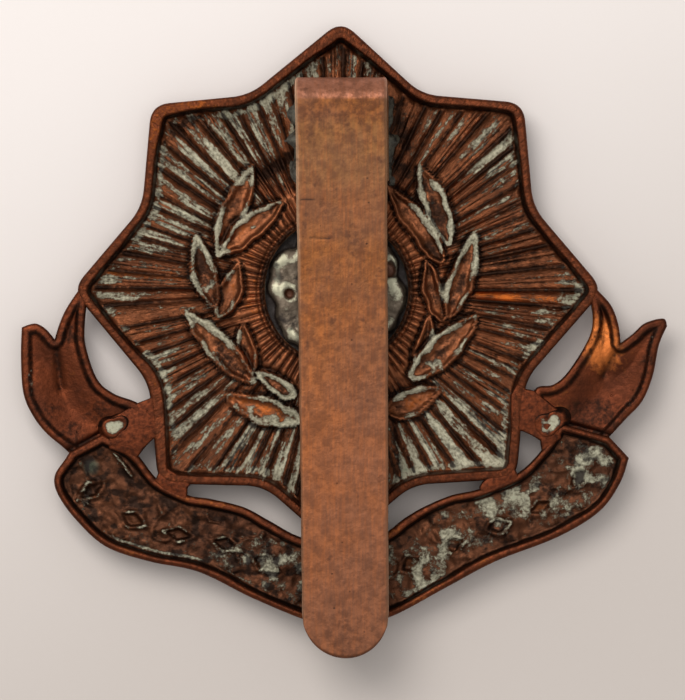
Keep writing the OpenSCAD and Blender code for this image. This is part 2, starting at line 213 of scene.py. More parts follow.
# The slider's scratches as (start, end, width, strength) along and across it, and its dark stains with a
# painted shade band just under the bend
SLIDER_SCRATCHES = (
    ((5.96, -2.7), (5.94, -1.85), 0.06, 0.9), ((3.42, -2.1), (3.38, -0.85), 0.05, 0.9),
    ((8.6, -3.1), (8.58, -2.9), 0.06, 0.7), ((5.5, -1.35), (5.9, -1.3), 0.1, 0.5),
    ((-7.4, -2.4), (-8.3, -2.2), 0.08, 0.4), ((-2.2, 1.5), (-2.8, 1.55), 0.1, 0.4),
)
SLIDER_STAINS_AND_SHADE = (
    (0.0, 11.9, 1.4, 0.8), (1.3, 2.6, 0.7, 0.5), (2.2, 11.8, 1.2, 0.8), (-1.9, 11.6, 0.8, 0.7),
    (1.1, 3.6, 0.5, 0.9), (-1.6, 10.0, 0.35, 0.8), (-1.3, 7.2, 0.25, 0.7), (-0.9, 5.6, 0.3, 0.6),
    (2.6, -6.0, 1.4, 0.4), (0.8, -23.4, 2.2, 0.9), (2.8, -18.5, 1.0, 0.5), (0.9, -0.8, 2.6, 0.3),
)
# Rays rubbed bright, and places in deep shade, as (start, end, width, strength)
BRIGHT_STREAKS = (
    ((7.9, -0.3), (14.8, -0.65), 0.36, 1.0), ((-15.2, 1.2), (-9.8, 0.8), 0.3, 0.7),
    ((-15.0, 0.2), (-11.0, 0.1), 0.25, 0.35), ((7.0, -7.0), (8.6, -9.8), 0.4, 0.6),
    ((-8.2, 6.4), (-10.8, 8.8), 0.3, 0.4), ((8.4, 1.2), (13.5, 2.0), 0.3, 0.35),
    ((9.4, -10.6), (9.9, -11.3), 0.5, 0.5), ((-5.9, 3.0), (-5.6, -1.5), 0.6, 0.45),
    ((5.6, 3.2), (6.0, 0.6), 0.5, 0.45), ((8.8, 7.0), (11.6, 9.6), 0.25, 0.35),
)
SHADE_STREAKS = (
    ((-4.9, 7.7), (-2.6, 9.2), 0.55, 1.0), ((3.6, 9.0), (4.6, 8.0), 0.6, 0.9),
    ((-10.9, 10.6), (-8.7, 11.9), 0.6, 0.8), ((4.0, 12.4), (4.6, 9.6), 0.6, 0.8),
    ((0.3, 15.8), (0.3, 16.6), 0.9, 0.6), ((-12.8, 6.8), (-11.6, 9.6), 0.6, 0.5),
    ((3.8, -8.6), (4.2, -13.2), 0.3, 0.7),
)


# ---------------------------------------------------------------- lines and fields

def polar(radius, degrees):
    """Points at these radii and angles."""
    turn = np.radians(np.asarray(degrees, float))
    return np.stack([radius * np.cos(turn), radius * np.sin(turn)], -1)


def step(low, high, value):
    """0 below low and 1 above high, with a smooth rise between them."""
    share = np.clip((value - low) / (high - low), 0, 1)
    return share * share * (3 - 2 * share)


def bump(value, width):
    """1 where the value is 0, falling to nothing over a few widths."""
    return np.exp(-((value / width) ** 2))


def smooth_line(points, steps=8):
    """A smooth line through the points."""
    points = np.asarray(points, float)
    padded = np.vstack([points[:1], points, points[-1:]])
    t = np.linspace(0, 1, steps, endpoint=False)[:, None]
    parts = [
        (2 * t**3 - 3 * t**2 + 1) * b + (t**3 - 2 * t**2 + t) * (c - a) / 2
        + (3 * t**2 - 2 * t**3) * c + (t**3 - t**2) * (d - b) / 2
        for a, b, c, d in zip(padded, padded[1:], padded[2:], padded[3:])
    ]
    return np.vstack(parts + [points[-1:]])


def along(line, shares):
    """The points at these shares of a line's length."""
    travel = np.concatenate([[0], np.cumsum(np.hypot(*np.diff(line, axis=0).T))])
    return np.stack([np.interp(shares * travel[-1], travel, line[:, k]) for k in (0, 1)], -1)


def clearance(x, y, *lines):
    """The distance from each place to the nearest of the lines."""
    nearest = np.full(x.shape, np.inf)
    for line in lines:
        for (ax, ay), (bx, by) in zip(line[:-1], line[1:]):
            dx, dy = bx - ax, by - ay
            length = dx * dx + dy * dy
            if length > 0:
                t = np.clip(((x - ax) * dx + (y - ay) * dy) / length, 0, 1)
                np.minimum(nearest, (x - ax - t * dx) ** 2 + (y - ay - t * dy) ** 2, out=nearest)
    return np.sqrt(nearest)


def drift(x, y, size, seed):
    """Random values from -1 to 1 that change smoothly over this size."""
    cells = 128
    lattice = np.random.default_rng(seed).uniform(-1, 1, (cells, cells))
    u, v = x / size + cells / 2, y / size + cells / 2
    i, j = np.floor(u).astype(int), np.floor(v).astype(int)
    f, g = step(0, 1, u - i), step(0, 1, v - j)
    i, j, k, m = i % cells, j % cells, (i + 1) % cells, (j + 1) % cells
    low = lattice[i, j] * (1 - f) + lattice[k, j] * f
    high = lattice[i, m] * (1 - f) + lattice[k, m] * f
    return low * (1 - g) + high * g


def places(x, y, spots):
    """How strongly each place belongs to the spots, from 0 to 1."""
    total = np.zeros_like(x)
    for cx, cy, spread, strength in spots:
        total += strength * np.exp(-((x - cx) ** 2 + (y - cy) ** 2) / (2 * spread**2))
    return np.clip(total, 0, 1)


def streaks(x, y, lines):
    """How strongly each place belongs to the streaks, from 0 to 1."""
    total = np.zeros_like(x)
    for start, end, width, strength in lines:
        total = np.maximum(total, strength * bump(clearance(x, y, (start, end)), width))
    return total


def star_line(size):
    """The star's outline as a closed line, its corners rounded."""
    reach = np.stack([np.multiply(TIP_SHARES, size.tip_reach / MM),
                      np.multiply(VALLEY_SHARES, size.valley_reach / MM)], 1).ravel()
    corners = polar(reach, np.stack([TIP_ANGLES, VALLEY_ANGLES], 1).ravel())
    before, after = np.roll(corners, 1, 0), np.roll(corners, -1, 0)
    start = size.corner_round / MM / np.linalg.norm(before - corners, axis=1)[:, None] * (before - corners)
    end = size.corner_round / MM / np.linalg.norm(after - corners, axis=1)[:, None] * (after - corners)
    t = np.linspace(0, 1, 9)[None, :, None]
    curve = corners[:, None] + (1 - t) ** 2 * start[:, None] + t**2 * end[:, None]
    line = curve.reshape(-1, 2)
    return along(np.vstack([line, line[:1]]), np.linspace(0, 1, 600))


def scroll_line():
    """The scroll's outline as a closed line."""
    low, high = smooth_line(SCROLL_LOW), smooth_line(SCROLL_HIGH)
    ends = np.array([[(-17.8, -10.8), (-18.1, -11.3)], [(18.2, -9.8), (14.9, -8.9)]], float)
    return np.vstack([low, ends[1], high[::-1], ends[0]])


# ---------------------------------------------------------------- blanks and pieces

def ring_blank(sectors, back_rings, front_rings, hole):
    """A round blank with a back and a front skin. It is spun from its section, which starts on the axis
    where the blank has no hole. x and y give a place's ring and angle, and z is 0 on the back and -1 on
    the front. The section's first ring has radius 1 and its last radius 2."""
    bm = bmesh.new()
    back = [(1 + k / (back_rings - 1), 0) for k in range(back_rings)]
    front = [(2 - k / (front_rings - 1), -1) for k in range(front_rings)]
    if not hole:
        back, front = [(0, 0)] + back, front + [(0, -1)]
    verts = [bm.verts.new((r, 0, z)) for r, z in back + front]
    edges = [bm.edges.new(pair) for pair in zip(verts, verts[1:])]
    if hole:
        edges.append(bm.edges.new((verts[-1], verts[0])))
    bmesh.ops.spin(bm, geom=verts + edges, cent=(0, 0, 0), axis=(0, 0, 1), angle=2 * np.pi,
                   steps=sectors, use_merge=True)
    bmesh.ops.remove_doubles(bm, verts=bm.verts, dist=1e-5)
    bmesh.ops.recalc_face_normals(bm, faces=bm.faces)
    return bm


def band_blank(columns, rows):
    """A rectangular blank with a back and a front skin. x and y run from 0 to 1, and z is 0 on the back
    and -1 on the front."""
    bm = bmesh.new()
    bmesh.ops.create_grid(bm, x_segments=columns, y_segments=rows, size=0.5)
    bmesh.ops.translate(bm, verts=bm.verts, vec=(0.5, 0.5, 0))
    skin = bmesh.ops.extrude_face_region(bm, geom=bm.faces[:], use_keep_orig=True)
    moved = [g for g in skin["geom"] if isinstance(g, bmesh.types.BMVert)]
    bmesh.ops.translate(bm, verts=moved, vec=(0, 0, -1))
    bmesh.ops.recalc_face_normals(bm, faces=bm.faces)
    return bm


def blank_places(bm):
    """The vertex places of a blank as three columns."""
    return np.array([v.co for v in bm.verts], float).T


def add_piece(name, bm, shaped, material, nodes, masks=None, body="badge"):
    """Makes the piece from a blank and the places, in millimetres, that its vertices take. The masks
    become attributes for its material."""
    mesh = bpy.data.meshes.new(name)
    bm.to_mesh(mesh)
    bm.free()
    mesh.vertices.foreach_set("co", (np.stack(shaped, -1) * MM).astype(np.float32).ravel())
    for mask, values in (masks or {}).items():
        layer = mesh.attributes.new(mask, "FLOAT", "POINT")
        layer.data.foreach_set("value", np.clip(values, 0, 1).astype(np.float32))
    mesh.shade_smooth()
    mesh.update()
    mesh.materials.append(material)
    piece = bpy.data.objects.new(name, mesh)
    bpy.context.scene.collection.objects.link(piece)
    if body:
        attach(piece, body)
    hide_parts(*nodes)
    return piece


# ---------------------------------------------------------------- struck relief

def ray_cells(x, y, count, seed):
    """For each place the share across its ray, and three random values of that ray."""
    rng = np.random.default_rng(seed)
    widths = rng.uniform(0.7, 1.3, count)
    edges = np.concatenate([[0], np.cumsum(widths)]) / widths.sum()
    turn = (np.arctan2(y, x) / (2 * np.pi)) % 1
    cell = np.clip(np.searchsorted(edges, turn, side="right") - 1, 0, count - 1)
    share = (turn - edges[cell]) / (edges[cell + 1] - edges[cell])
    return share, rng.uniform(0, 1, (count, 3))[cell].T


def star_relief(x, y, size):
    """The height of the star's field over its floor, and its masks. The dark mask holds dirt and painted
    shade.
    """
    radius, turn = np.hypot(x, y), np.arctan2(x, -y)
    share, (deep, split, dirty) = ray_cells(x, y, size.rays, 5)
    edge = np.minimum(share, 1 - share)
    trough = 1 - np.abs(2 * share - 1) ** (2.4 + 2 * split)
    streak = drift(turn * 34, radius * 0.7, 1, 22)
    depth = size.ray_depth / MM * (0.7 + 0.8 * deep) * (1 + 0.3 * drift(x, y, 1.3, 21))
    line = np.abs(share - 0.35 - 0.3 * dirty)
    seam = bump(line, 0.06) * (split > 0.4)
    rays = step(6.7, 7.6, radius)
    height = rays * (depth * (0.6 * seam - trough + 0.4) + 0.04 * streak)
    # Painted shade: the grooves between rays and a shaded flank beside each seam are darkened; dirt adds
    # random smudges.
    flank = bump(line - 0.12, 0.05) * (split > 0.4)
    groove = bump(edge - 0.02, 0.07 + 0.05 * deep)
    dirt = 0.4 * step(0.0, 0.7, drift(turn * 20, radius * 0.45, 1, 24)) * dirty
    dark = rays * np.clip(np.maximum(groove, 0.75 * flank) * (0.9 + 0.3 * streak) + dirt, 0, 1)
    pale = rays * step(0.12, 0.3, edge) * (1 - 0.7 * seam)

    fine_share, (fine_deep, _, _) = ray_cells(x, y, size.fine_rays, 9)
    fine_ring = step(4.9, 5.15, radius) * (1 - step(6.6, 7.1, radius))
    fine = np.sin(np.pi * fine_share) ** 0.7
    height = height * (1 - fine_ring) + fine_ring * (0.18 * fine - 0.1) * (0.7 + 0.6 * fine_deep)
    # Painted shade: the grooves between the fine rays are darkened.
    dark = dark * (1 - fine_ring) + fine_ring * (0.02 + 0.62 * (1 - fine) + 0.2 * drift(x, y, 1.4, 11))
    height += 0.12 * bump(radius - 4.95, 0.12) - 0.12 * bump(radius - 5.25, 0.1)
    # Painted shadow: a dark ring at the step round the opening.
    dark = np.maximum(dark, 0.85 * bump(radius - 5.0, 0.2))

    vein, field = np.zeros_like(x), np.ones_like(x)
    bright = streaks(x, y, BRIGHT_STREAKS) * (0.7 + 0.5 * streak)
    patchy = step(-0.5, 0.35, drift(x, y, 1.6, 8))
    for tip, root, width, bow, glow in LEAVES:
        ax, ay = np.subtract(tip, root)
        length = np.hypot(ax, ay)
        s = ((x - root[0]) * ax + (y - root[1]) * ay) / length**2
        t = ((y - root[1]) * ax - (x - root[0]) * ay) / length
        inside = np.clip(s, 0, 1)
        t = t - bow * 4 * inside * (1 - inside) + 0.11 * drift(x, y, 0.7, 33)
        half = 0.5 * width * np.sin(np.pi * inside**0.85) ** 0.75
        off = np.abs(t) - half
        on = (s > 0.01) & (s < 0.99)
        body = (1 - step(-0.02, 0.1, off)) * on
        lip = bump(off + 0.12, 0.13 + 0.05 * drift(x, y, 1.2, 34)) * on
        rib = bump(t, 0.07) * step(0.03, 0.2, s) * (1 - step(0.7, 0.95, s)) * on
        moat = bump(off - 0.18, 0.12) * on
        bowl = np.clip(1 - (t / np.maximum(half, 0.05)) ** 2, 0, 1) * on
        grooves = 0.03 * drift(t * 6, s * length * 1.3, 1, 35) * bowl
        height = height * (1 - body) + body * (0.02 - 0.26 * bowl + grooves)
        height = height + 0.26 * lip * (1 - 0.4 * (off > 0))
        height += 0.08 * rib * body - 0.2 * moat * (1 - body)
        shadow = (0.72 - 0.6 * glow) * bowl * (1 + 0.7 * drift(x, y, 0.7, 37))
        # Painted shadow: the moat round each leaf is darkened into an outline, and the shadow term is
        # painted shade in the leaf's hollow.
        dark = dark * (1 - body) * (1 - lip) + 0.95 * moat * (1 - body) + shadow * body
        pale, field = pale * (1 - body), field * (1 - body)
        edge_crust = bump(off + 0.16, 0.26 + 0.16 * drift(x, y, 0.7, 36)) * on
        edge_crust *= np.clip(0.42 + 0.55 * patchy - 0.3 * step(-1, 3, x) * (1 - patchy), 0, 1)
        vein = np.maximum(vein * (1 - body), edge_crust)
        bright = bright * (1 - body) + body * glow * (0.3 + 0.7 * bowl)
    smear = places(x + 0.5 * drift(x, y, 0.4, 38), y + 0.5 * drift(x, y, 0.4, 39), LEAF_CRUST_PLACES)
    vein = np.maximum(vein, 0.85 * smear * (1 - field))

    shade = streaks(x, y, SHADE_STREAKS)
    dark = np.maximum(dark, shade * field)
    height += 0.03 * drift(x, y, 0.45, 3) + 0.04 * drift(x, y, 1.7, 4) - 0.15 * shade * field
    zone = places(x, y, CRUST_PLACES)
    crust = (0.25 + 0.47 * zone) * (0.2 + 0.8 * pale) * (0.75 + 0.5 * dirty) * rays * field
    crust = crust * (1 - 0.6 * shade)
    crust = np.maximum(crust * (1 - vein), vein) * (1 - 0.8 * fine_ring)
    masks = {"crust": crust, "dark": dark * (1 - 0.5 * vein),
             "bright": bright * (1 - 0.6 * dark) * (1 - vein), "ray": rays * field}
    return height, masks


def rim_height(gap, x, y, width, depth, wall):
    """The height of a rim and of the floor inside it, at this distance in from the edge, and where the
    floor starts."""
    fall = step(width, width + wall, gap)
    crown = -0.13 * np.clip(1 - gap / 0.2, 0, 1) ** 2 + 0.02 * drift(x, y, 1.1, 15) - 0.02
    return crown * (1 - fall) - depth * fall, fall


# ---------------------------------------------------------------- material helpers

def linear(code):
    """A colour from its six-figure code, as Blender's linear values."""
    values = [int(code[k:k + 2], 16) / 255 for k in (0, 2, 4)]
    return [c / 12.92 if c <= 0.04045 else ((c + 0.055) / 1.055) ** 2.4 for c in values] + [1.0]


def add_node(tree, kind, settings=None, **inputs):
    """Adds a node. The settings are its own properties, and each input is a value or a socket to link. An
    input's name has _ for a space, and n and its number where several have one name."""
    made = tree.nodes.new(kind)
    for key, value in (settings or {}).items():
        setattr(made, key, value)
    for key, value in inputs.items():
        numbered = key[0] == "n" and key[1:].isdigit()
        socket = made.inputs[int(key[1:])] if numbered else made.inputs[key.replace("_", " ")]
        if isinstance(value, bpy.types.NodeSocket):
            tree.links.new(value, socket)
        else:
            socket.default_value = value
    return made


def maths(tree, operation, a, b=0.0, clamp=False):
    """One sum on two values."""
    settings = {"operation": operation, "use_clamp": clamp}
    return add_node(tree, "ShaderNodeMath", settings, n0=a, n1=b).outputs[0]


def times(tree, a, b):
    """The product of two values."""
    return maths(tree, "MULTIPLY", a, b)


def plus(tree, a, b, clamp=False):
    """The sum of two values."""
    return maths(tree, "ADD", a, b, clamp)


def minus(tree, a, b, clamp=False):
    """The difference of two values."""
    return maths(tree, "SUBTRACT", a, b, clamp)


def swing(tree, value, share):
    """How far a value that runs from 0 to 1 is from its middle, times the share."""
    return times(tree, minus(tree, value, 0.5), share)


def mixed(tree, factor, a, b):
    """Colour a turning into colour b."""
    return add_node(tree, "ShaderNodeMix", {"data_type": "RGBA"}, n0=factor, n6=a, n7=b).outputs[2]


def ranged(tree, value, low, high, to_low=0.0, to_high=1.0):
    """The value's smooth rise from to_low at low to to_high at high."""
    made = add_node(tree, "ShaderNodeMapRange", {"interpolation_type": "SMOOTHSTEP"}, Value=value,
                    From_Min=low, From_Max=high, To_Min=to_low, To_Max=to_high)
    return made.outputs[0]


def noise(tree, place, scale, detail=3.0, roughness=0.55):
    """Noise with this many bumps to a millimetre."""
    return add_node(tree, "ShaderNodeTexNoise", None, Vector=place, Scale=scale, Detail=detail,
                    Roughness=roughness).outputs["Fac"]


def attribute(tree, name):
    """One of the piece's own masks."""
    return add_node(tree, "ShaderNodeAttribute", {"attribute_name": name}).outputs["Fac"]


def start_material(name):
    """A new material's tree, its shader and the place on the piece in millimetres."""
    material = bpy.data.materials.new(name)
    material.use_nodes = True
    tree = material.node_tree
    shader = tree.nodes["Principled BSDF"]
    spot = add_node(tree, "ShaderNodeTexCoord").outputs["Object"]
    place = add_node(tree, "ShaderNodeVectorMath", {"operation": "SCALE"}, Vector=spot, Scale=1 / MM)
    return material, tree, shader, place.outputs[0]


def start_group(name, inputs, outputs):
    """A node group with these sockets, and its two end nodes."""
    tree = bpy.data.node_groups.new(name, "ShaderNodeTree")
    for socket, kind, value in inputs:
        made = tree.interface.new_socket(name=socket, in_out="INPUT", socket_type=kind)
        if value is not None:
            made.default_value = value
    for socket in outputs:
        tree.interface.new_socket(name=socket, in_out="OUTPUT", socket_type="NodeSocketFloat")
    return tree, tree.nodes.new("NodeGroupInput").outputs, tree.nodes.new("NodeGroupOutput").inputs


def crust_group():
    """Pale, flaky residue: where it lies, how light it is and how far it stands up."""
    if "Crust" in bpy.data.node_groups:
        return bpy.data.node_groups["Crust"]
    tree, given, out = start_group("Crust", (
        ("Place", "NodeSocketVector", None), ("Amount", "NodeSocketFloat", 0.5),
        ("Grain", "NodeSocketFloat", 1.6), ("Raggedness", "NodeSocketFloat", 0.9),
    ), ("Mask", "Tone", "Height"))
    patch = noise(tree, given["Place"], given["Grain"], 5.0, 0.7)
    flake = noise(tree, given["Place"], times(tree, given["Grain"], 3.3), 3.0, 0.6)
    wander = swing(tree, patch, given["Raggedness"])
    wander = plus(tree, wander, swing(tree, flake, 0.5))
    amount = plus(tree, given["Amount"], wander)
    mask = ranged(tree, amount, 0.4, 0.62)
    tree.links.new(mask, out["Mask"])
    tone = plus(tree, times(tree, flake, 0.5), times(tree, amount, 0.45))
    tree.links.new(ranged(tree, tone, 0.36, 0.85), out["Tone"])
    tree.links.new(times(tree, mask, plus(tree, flake, 0.4)), out["Height"])
    return tree


def tarnish_group():
    """Uneven tarnish: broad clouds, a fine mottle and small pits."""
    if "Tarnish" in bpy.data.node_groups:
        return bpy.data.node_groups["Tarnish"]
    tree, given, out = start_group("Tarnish", (
        ("Place", "NodeSocketVector", None), ("Cloud Size", "NodeSocketFloat", 0.25),
        ("Mottle Size", "NodeSocketFloat", 2.4),
    ), ("Clouds", "Mottle", "Pits"))
    clouds = noise(tree, given["Place"], given["Cloud Size"], 4.0, 0.6)
    mottle = noise(tree, given["Place"], given["Mottle Size"], 5.0, 0.65)
    cells = add_node(tree, "ShaderNodeTexVoronoi", None, Vector=given["Place"], Scale=1.1)
    tree.links.new(ranged(tree, clouds, 0.32, 0.68), out["Clouds"])
    tree.links.new(ranged(tree, mottle, 0.3, 0.72), out["Mottle"])
    tree.links.new(ranged(tree, cells.outputs["Distance"], 0.1, 0.04), out["Pits"])
    return tree


def streak_group():
    """Fine streaks and broader bands that run out from the star's centre."""
    if "Radial Streaks" in bpy.data.node_groups:
        return bpy.data.node_groups["Radial Streaks"]
    tree, given, out = start_group("Radial Streaks", (
        ("Place", "NodeSocketVector", None), ("Fineness", "NodeSocketFloat", 50.0),
    ), ("Streaks", "Bands"))
    split = add_node(tree, "ShaderNodeSeparateXYZ", None, Vector=given["Place"]).outputs
    turn = maths(tree, "ARCTAN2", split[0], times(tree, split[1], -1.0))
    reach = add_node(tree, "ShaderNodeVectorMath", {"operation": "LENGTH"}, Vector=given["Place"])
    around, out_way = times(tree, turn, given["Fineness"]), times(tree, reach.outputs[1], 0.9)
    polar_place = add_node(tree, "ShaderNodeCombineXYZ", None, X=around, Y=out_way).outputs[0]
    tree.links.new(ranged(tree, noise(tree, polar_place, 1.0, 4.0, 0.65), 0.3, 0.7), out["Streaks"])
    tree.links.new(ranged(tree, noise(tree, polar_place, 0.45, 5.0, 0.7), 0.3, 0.7), out["Bands"])
    return tree


def use_group(tree, group, **inputs):
    """Places a group and gives its outputs."""
    made = tree.nodes.new("ShaderNodeGroup")
    made.node_tree = group
    for key, value in inputs.items():
        socket = made.inputs[key.replace("_", " ")]
        if isinstance(value, bpy.types.NodeSocket):
            tree.links.new(value, socket)
        else:
            socket.default_value = value
    return made.outputs


def set_shader(tree, shader, colour, metal, rough, height, distance):
    """Links the shader's inputs that change over the surface."""
    tree.links.new(colour, shader.inputs["Base Color"])
    tree.links.new(metal, shader.inputs["Metallic"])
    tree.links.new(rough, shader.inputs["Roughness"])
    made = add_node(tree, "ShaderNodeBump", None, Height=height, Strength=0.9, Distance=distance * MM)
    tree.links.new(made.outputs[0], shader.inputs["Normal"])


def struck_metal(name, base, shade, bright, finish):
    """Old gilding metal: brown tarnish, rubbed bright in places, with pale crust and some verdigris, and
    dirt with painted shade from its dark mask.
    """
    if name in bpy.data.materials:
        return bpy.data.materials[name]
    material, tree, shader, place = start_material(name)
    tarnish = use_group(tree, tarnish_group(), Place=place, Cloud_Size=0.3, Mottle_Size=2.6)
    radial = use_group(tree, streak_group(), Place=place)
    streak, ray = radial["Streaks"], attribute(tree, "ray")
    lined = swing(tree, streak, ray)
    colour = mixed(tree, times(tree, tarnish["Clouds"], 0.75), base, shade)
    colour = mixed(tree, times(tree, tarnish["Mottle"], 0.4), colour, shade)
    colour = mixed(tree, times(tree, times(tree, streak, ray), 0.5), colour, shade)
    glow = plus(tree, attribute(tree, "bright"), swing(tree, tarnish["Mottle"], 0.5))
    glow = ranged(tree, glow, 0.2, 0.95)
    worn = times(tree, attribute(tree, "worn"), 0.85)
    colour = mixed(tree, worn, colour, mixed(tree, tarnish["Mottle"], finish.rim_brown, finish.rim_shade))
    colour = mixed(tree, glow, colour, bright)
    amount = plus(tree, attribute(tree, "crust"), times(tree, lined, 0.3))
    banded = swing(tree, radial["Bands"], ray)
    amount = plus(tree, amount, times(tree, banded, 0.6))
    ragged = minus(tree, 0.9, times(tree, ray, 0.5))
    crust = use_group(tree, crust_group(), Place=place, Amount=amount, Grain=1.5, Raggedness=ragged)
    pale = mixed(tree, crust["Tone"], finish.crust_dull, finish.crust_pale)
    green = ranged(tree, plus(tree, attribute(tree, "green"), swing(tree, crust["Tone"], 0.6)),
                   0.35, 0.8)
    colour = mixed(tree, times(tree, crust["Mask"], 0.85), colour, pale)
    colour = mixed(tree, times(tree, green, 0.75), colour, finish.verdigris)
    ragged = swing(tree, tarnish["Mottle"], 0.5)
    # The dark mask holds dirt and painted shade, and mixes the soot-and-shade colour in.
    dark = ranged(tree, plus(tree, attribute(tree, "dark"), ragged), 0.15, 0.85, 0.0, 0.92)
    colour = mixed(tree, dark, colour, finish.soot_and_shade)
    dull = maths(tree, "MAXIMUM", crust["Mask"], green)
    metal = minus(tree, 0.92, times(tree, dull, 0.9), True)
    rough = plus(tree, 0.36, times(tree, tarnish["Mottle"], 0.16))
    rough = plus(tree, rough, times(tree, dull, 0.4), True)
    height = plus(tree, times(tree, tarnish["Mottle"], 0.35), crust["Height"])
    height = plus(tree, height, times(tree, lined, 0.9))
    height = minus(tree, height, times(tree, tarnish["Pits"], 0.5))
    set_shader(tree, shader, colour, metal, rough, height, 0.05)
    return material


def handled_metal(finish):
    """The struck metal as it is on the tails, webs and curls."""
    return struck_metal("Handled gilding metal", finish.rim_brown, finish.rim_shade, finish.copper, finish)


def rosette_metal(finish):
    """Tarnished white metal, browned in its hollows, with painted shadow at its edge and pale painted
    highlights on its ridges.
    """
    material, tree, shader, place = start_material("Tarnished white metal")
    tarnish = use_group(tree, tarnish_group(), Place=place, Cloud_Size=0.5, Mottle_Size=1.8)
    colour = mixed(tree, times(tree, tarnish["Clouds"], 0.8), finish.white_metal, finish.white_dull)
    colour = mixed(tree, times(tree, tarnish["Mottle"], 0.6), colour, finish.white_dull)
    # The dark mask holds the hollows' tarnish and the painted shadow at the rosette's edge.
    hollow = ranged(tree, plus(tree, attribute(tree, "dark"), swing(tree, tarnish["Mottle"], 0.4)),
                    0.3, 0.8)
    # The crust mask here paints pale highlights on the raised ridges.
    pale = ranged(tree, plus(tree, attribute(tree, "crust"), swing(tree, tarnish["Mottle"], 0.7)),
                  0.35, 0.8, 0.0, 0.8)
    colour = mixed(tree, pale, colour, finish.crust_pale)
    colour = mixed(tree, hollow, colour, finish.soot_and_shade)
    colour = mixed(tree, times(tree, attribute(tree, "bright"), 0.8), colour, finish.brown)
    metal = minus(tree, 0.7, times(tree, hollow, 0.3))
    rough = plus(tree, 0.45, times(tree, tarnish["Mottle"], 0.2))
    set_shader(tree, shader, colour, metal, rough, tarnish["Mottle"], 0.02)
    return material


def slider_metal(finish):
    """Worn sheet brass: lengthwise polish, mottled stains, dark specks and rubbed edges, with a painted
    highlight down its left edge and on its bend, and a painted shade band under the bend.
    """
    material, tree, shader, place = start_material("Worn slider brass")
    tarnish = use_group(tree, tarnish_group(), Place=place, Cloud_Size=0.16, Mottle_Size=1.7)
    stretched = add_node(tree, "ShaderNodeMapping", None, Vector=place, Scale=(7.0, 0.45, 1.0)).outputs[0]
    grain = noise(tree, stretched, 1.0, 4.0, 0.6)
    speck = noise(tree, place, 1.25, 2.0, 0.5)
    span = add_node(tree, "ShaderNodeSeparateXYZ", None, Vector=place).outputs[1]
    colour = mixed(tree, ranged(tree, span, -12.0, 6.0), finish.slider_low, finish.slider_high)
    colour = mixed(tree, times(tree, attribute(tree, "olive"), 0.55), colour, finish.slider_olive)
    # Painted highlight: the bend is painted a light pinkish brown.
    colour = mixed(tree, times(tree, attribute(tree, "fold"), 0.8), colour, finish.slider_fold_highlight)
    colour = mixed(tree, times(tree, tarnish["Clouds"], 0.4), colour, finish.slider_stain)
    colour = mixed(tree, times(tree, tarnish["Mottle"], 0.55), colour, finish.slider_stain)
    colour = mixed(tree, times(tree, ranged(tree, grain, 0.42, 0.68), 0.2), colour, finish.copper)
    # Stains, and a painted shade band just under the bend, darken towards umber.
    stain_and_shade = times(tree, attribute(tree, "stain_and_shade"), ranged(tree, tarnish["Mottle"], 0.1, 0.9, 0.35, 1.0))
    colour = mixed(tree, times(tree, stain_and_shade, 0.6), colour, finish.umber)
    colour = mixed(tree, ranged(tree, speck, 0.66, 0.74, 0.0, 0.5), colour, finish.umber)
    pits = times(tree, tarnish["Pits"], ranged(tree, speck, 0.45, 0.6, 0.0, 0.7))
    colour = mixed(tree, pits, colour, finish.soot_and_shade)
    # Rubbed edges, and a painted highlight down the strip's left edge.
    colour = mixed(tree, times(tree, attribute(tree, "bright"), 0.8), colour, finish.slider_edge_and_highlight)
    colour = mixed(tree, times(tree, attribute(tree, "dark"), 0.85), colour, finish.soot_and_shade)
    rough = plus(tree, 0.42, times(tree, tarnish["Mottle"], 0.18))
    metal = minus(tree, 0.9, times(tree, tarnish["Clouds"], 0.25))
    height = plus(tree, times(tree, grain, 0.5), tarnish["Mottle"])
    height = minus(tree, height, pits)
    set_shader(tree, shader, colour, metal, rough, height, 0.02)
    return material


def solder_metal(finish):
    """Dull grey solder and flux residue."""
    material, tree, shader, place = start_material("Dull solder")
    tarnish = use_group(tree, tarnish_group(), Place=place, Cloud_Size=0.8, Mottle_Size=2.2)
    crust = use_group(tree, crust_group(), Place=place, Amount=0.5, Grain=1.3)
    colour = mixed(tree, ranged(tree, tarnish["Clouds"], 0.0, 1.0, 0.35, 1.0), finish.solder, finish.soot_and_shade)
    colour = mixed(tree, times(tree, crust["Mask"], 0.5), colour, finish.crust_dull)
    metal = minus(tree, 0.7, times(tree, crust["Mask"], 0.6))
    rough = plus(tree, 0.45, times(tree, tarnish["Mottle"], 0.3))
    set_shader(tree, shader, colour, metal, rough, crust["Height"], 0.04)
    return material


def table_top(finish):
    """A pale, faintly mottled table, with painted shade that darkens it away from the window light."""
    material, tree, shader, place = start_material("Pale table")
    mottle = noise(tree, place, 0.05, 3.0, 0.5)
    grain = noise(tree, place, 3.0, 3.0, 0.6)
    split = add_node(tree, "ShaderNodeSeparateXYZ", None, Vector=place).outputs
    across = minus(tree, times(tree, split[0], 0.3), split[1])
    across = plus(tree, across, times(tree, mottle, 6.0))
    # Painted shade: the table darkens across its top, away from the window light.
    colour = mixed(tree, ranged(tree, across, -26.0, 32.0), finish.table, finish.table_shade)
    tree.links.new(colour, shader.inputs["Base Color"])
    tree.links.new(ranged(tree, grain, 0.2, 0.8, 0.7, 0.85), shader.inputs["Roughness"])
    return material


# ---------------------------------------------------------------- properties

def length(name, description, millimetres):
    """A size with its default in millimetres."""
    return FloatProperty(name=name, description=description, default=millimetres * MM, min=0,
                         unit="LENGTH", subtype="DISTANCE", precision=5)


def colour(name, description, code):
    """A colour with its default as a six-figure code."""
    return FloatVectorProperty(name=name, description=description, default=linear(code), size=4,
                               subtype="COLOR", min=0, max=1)


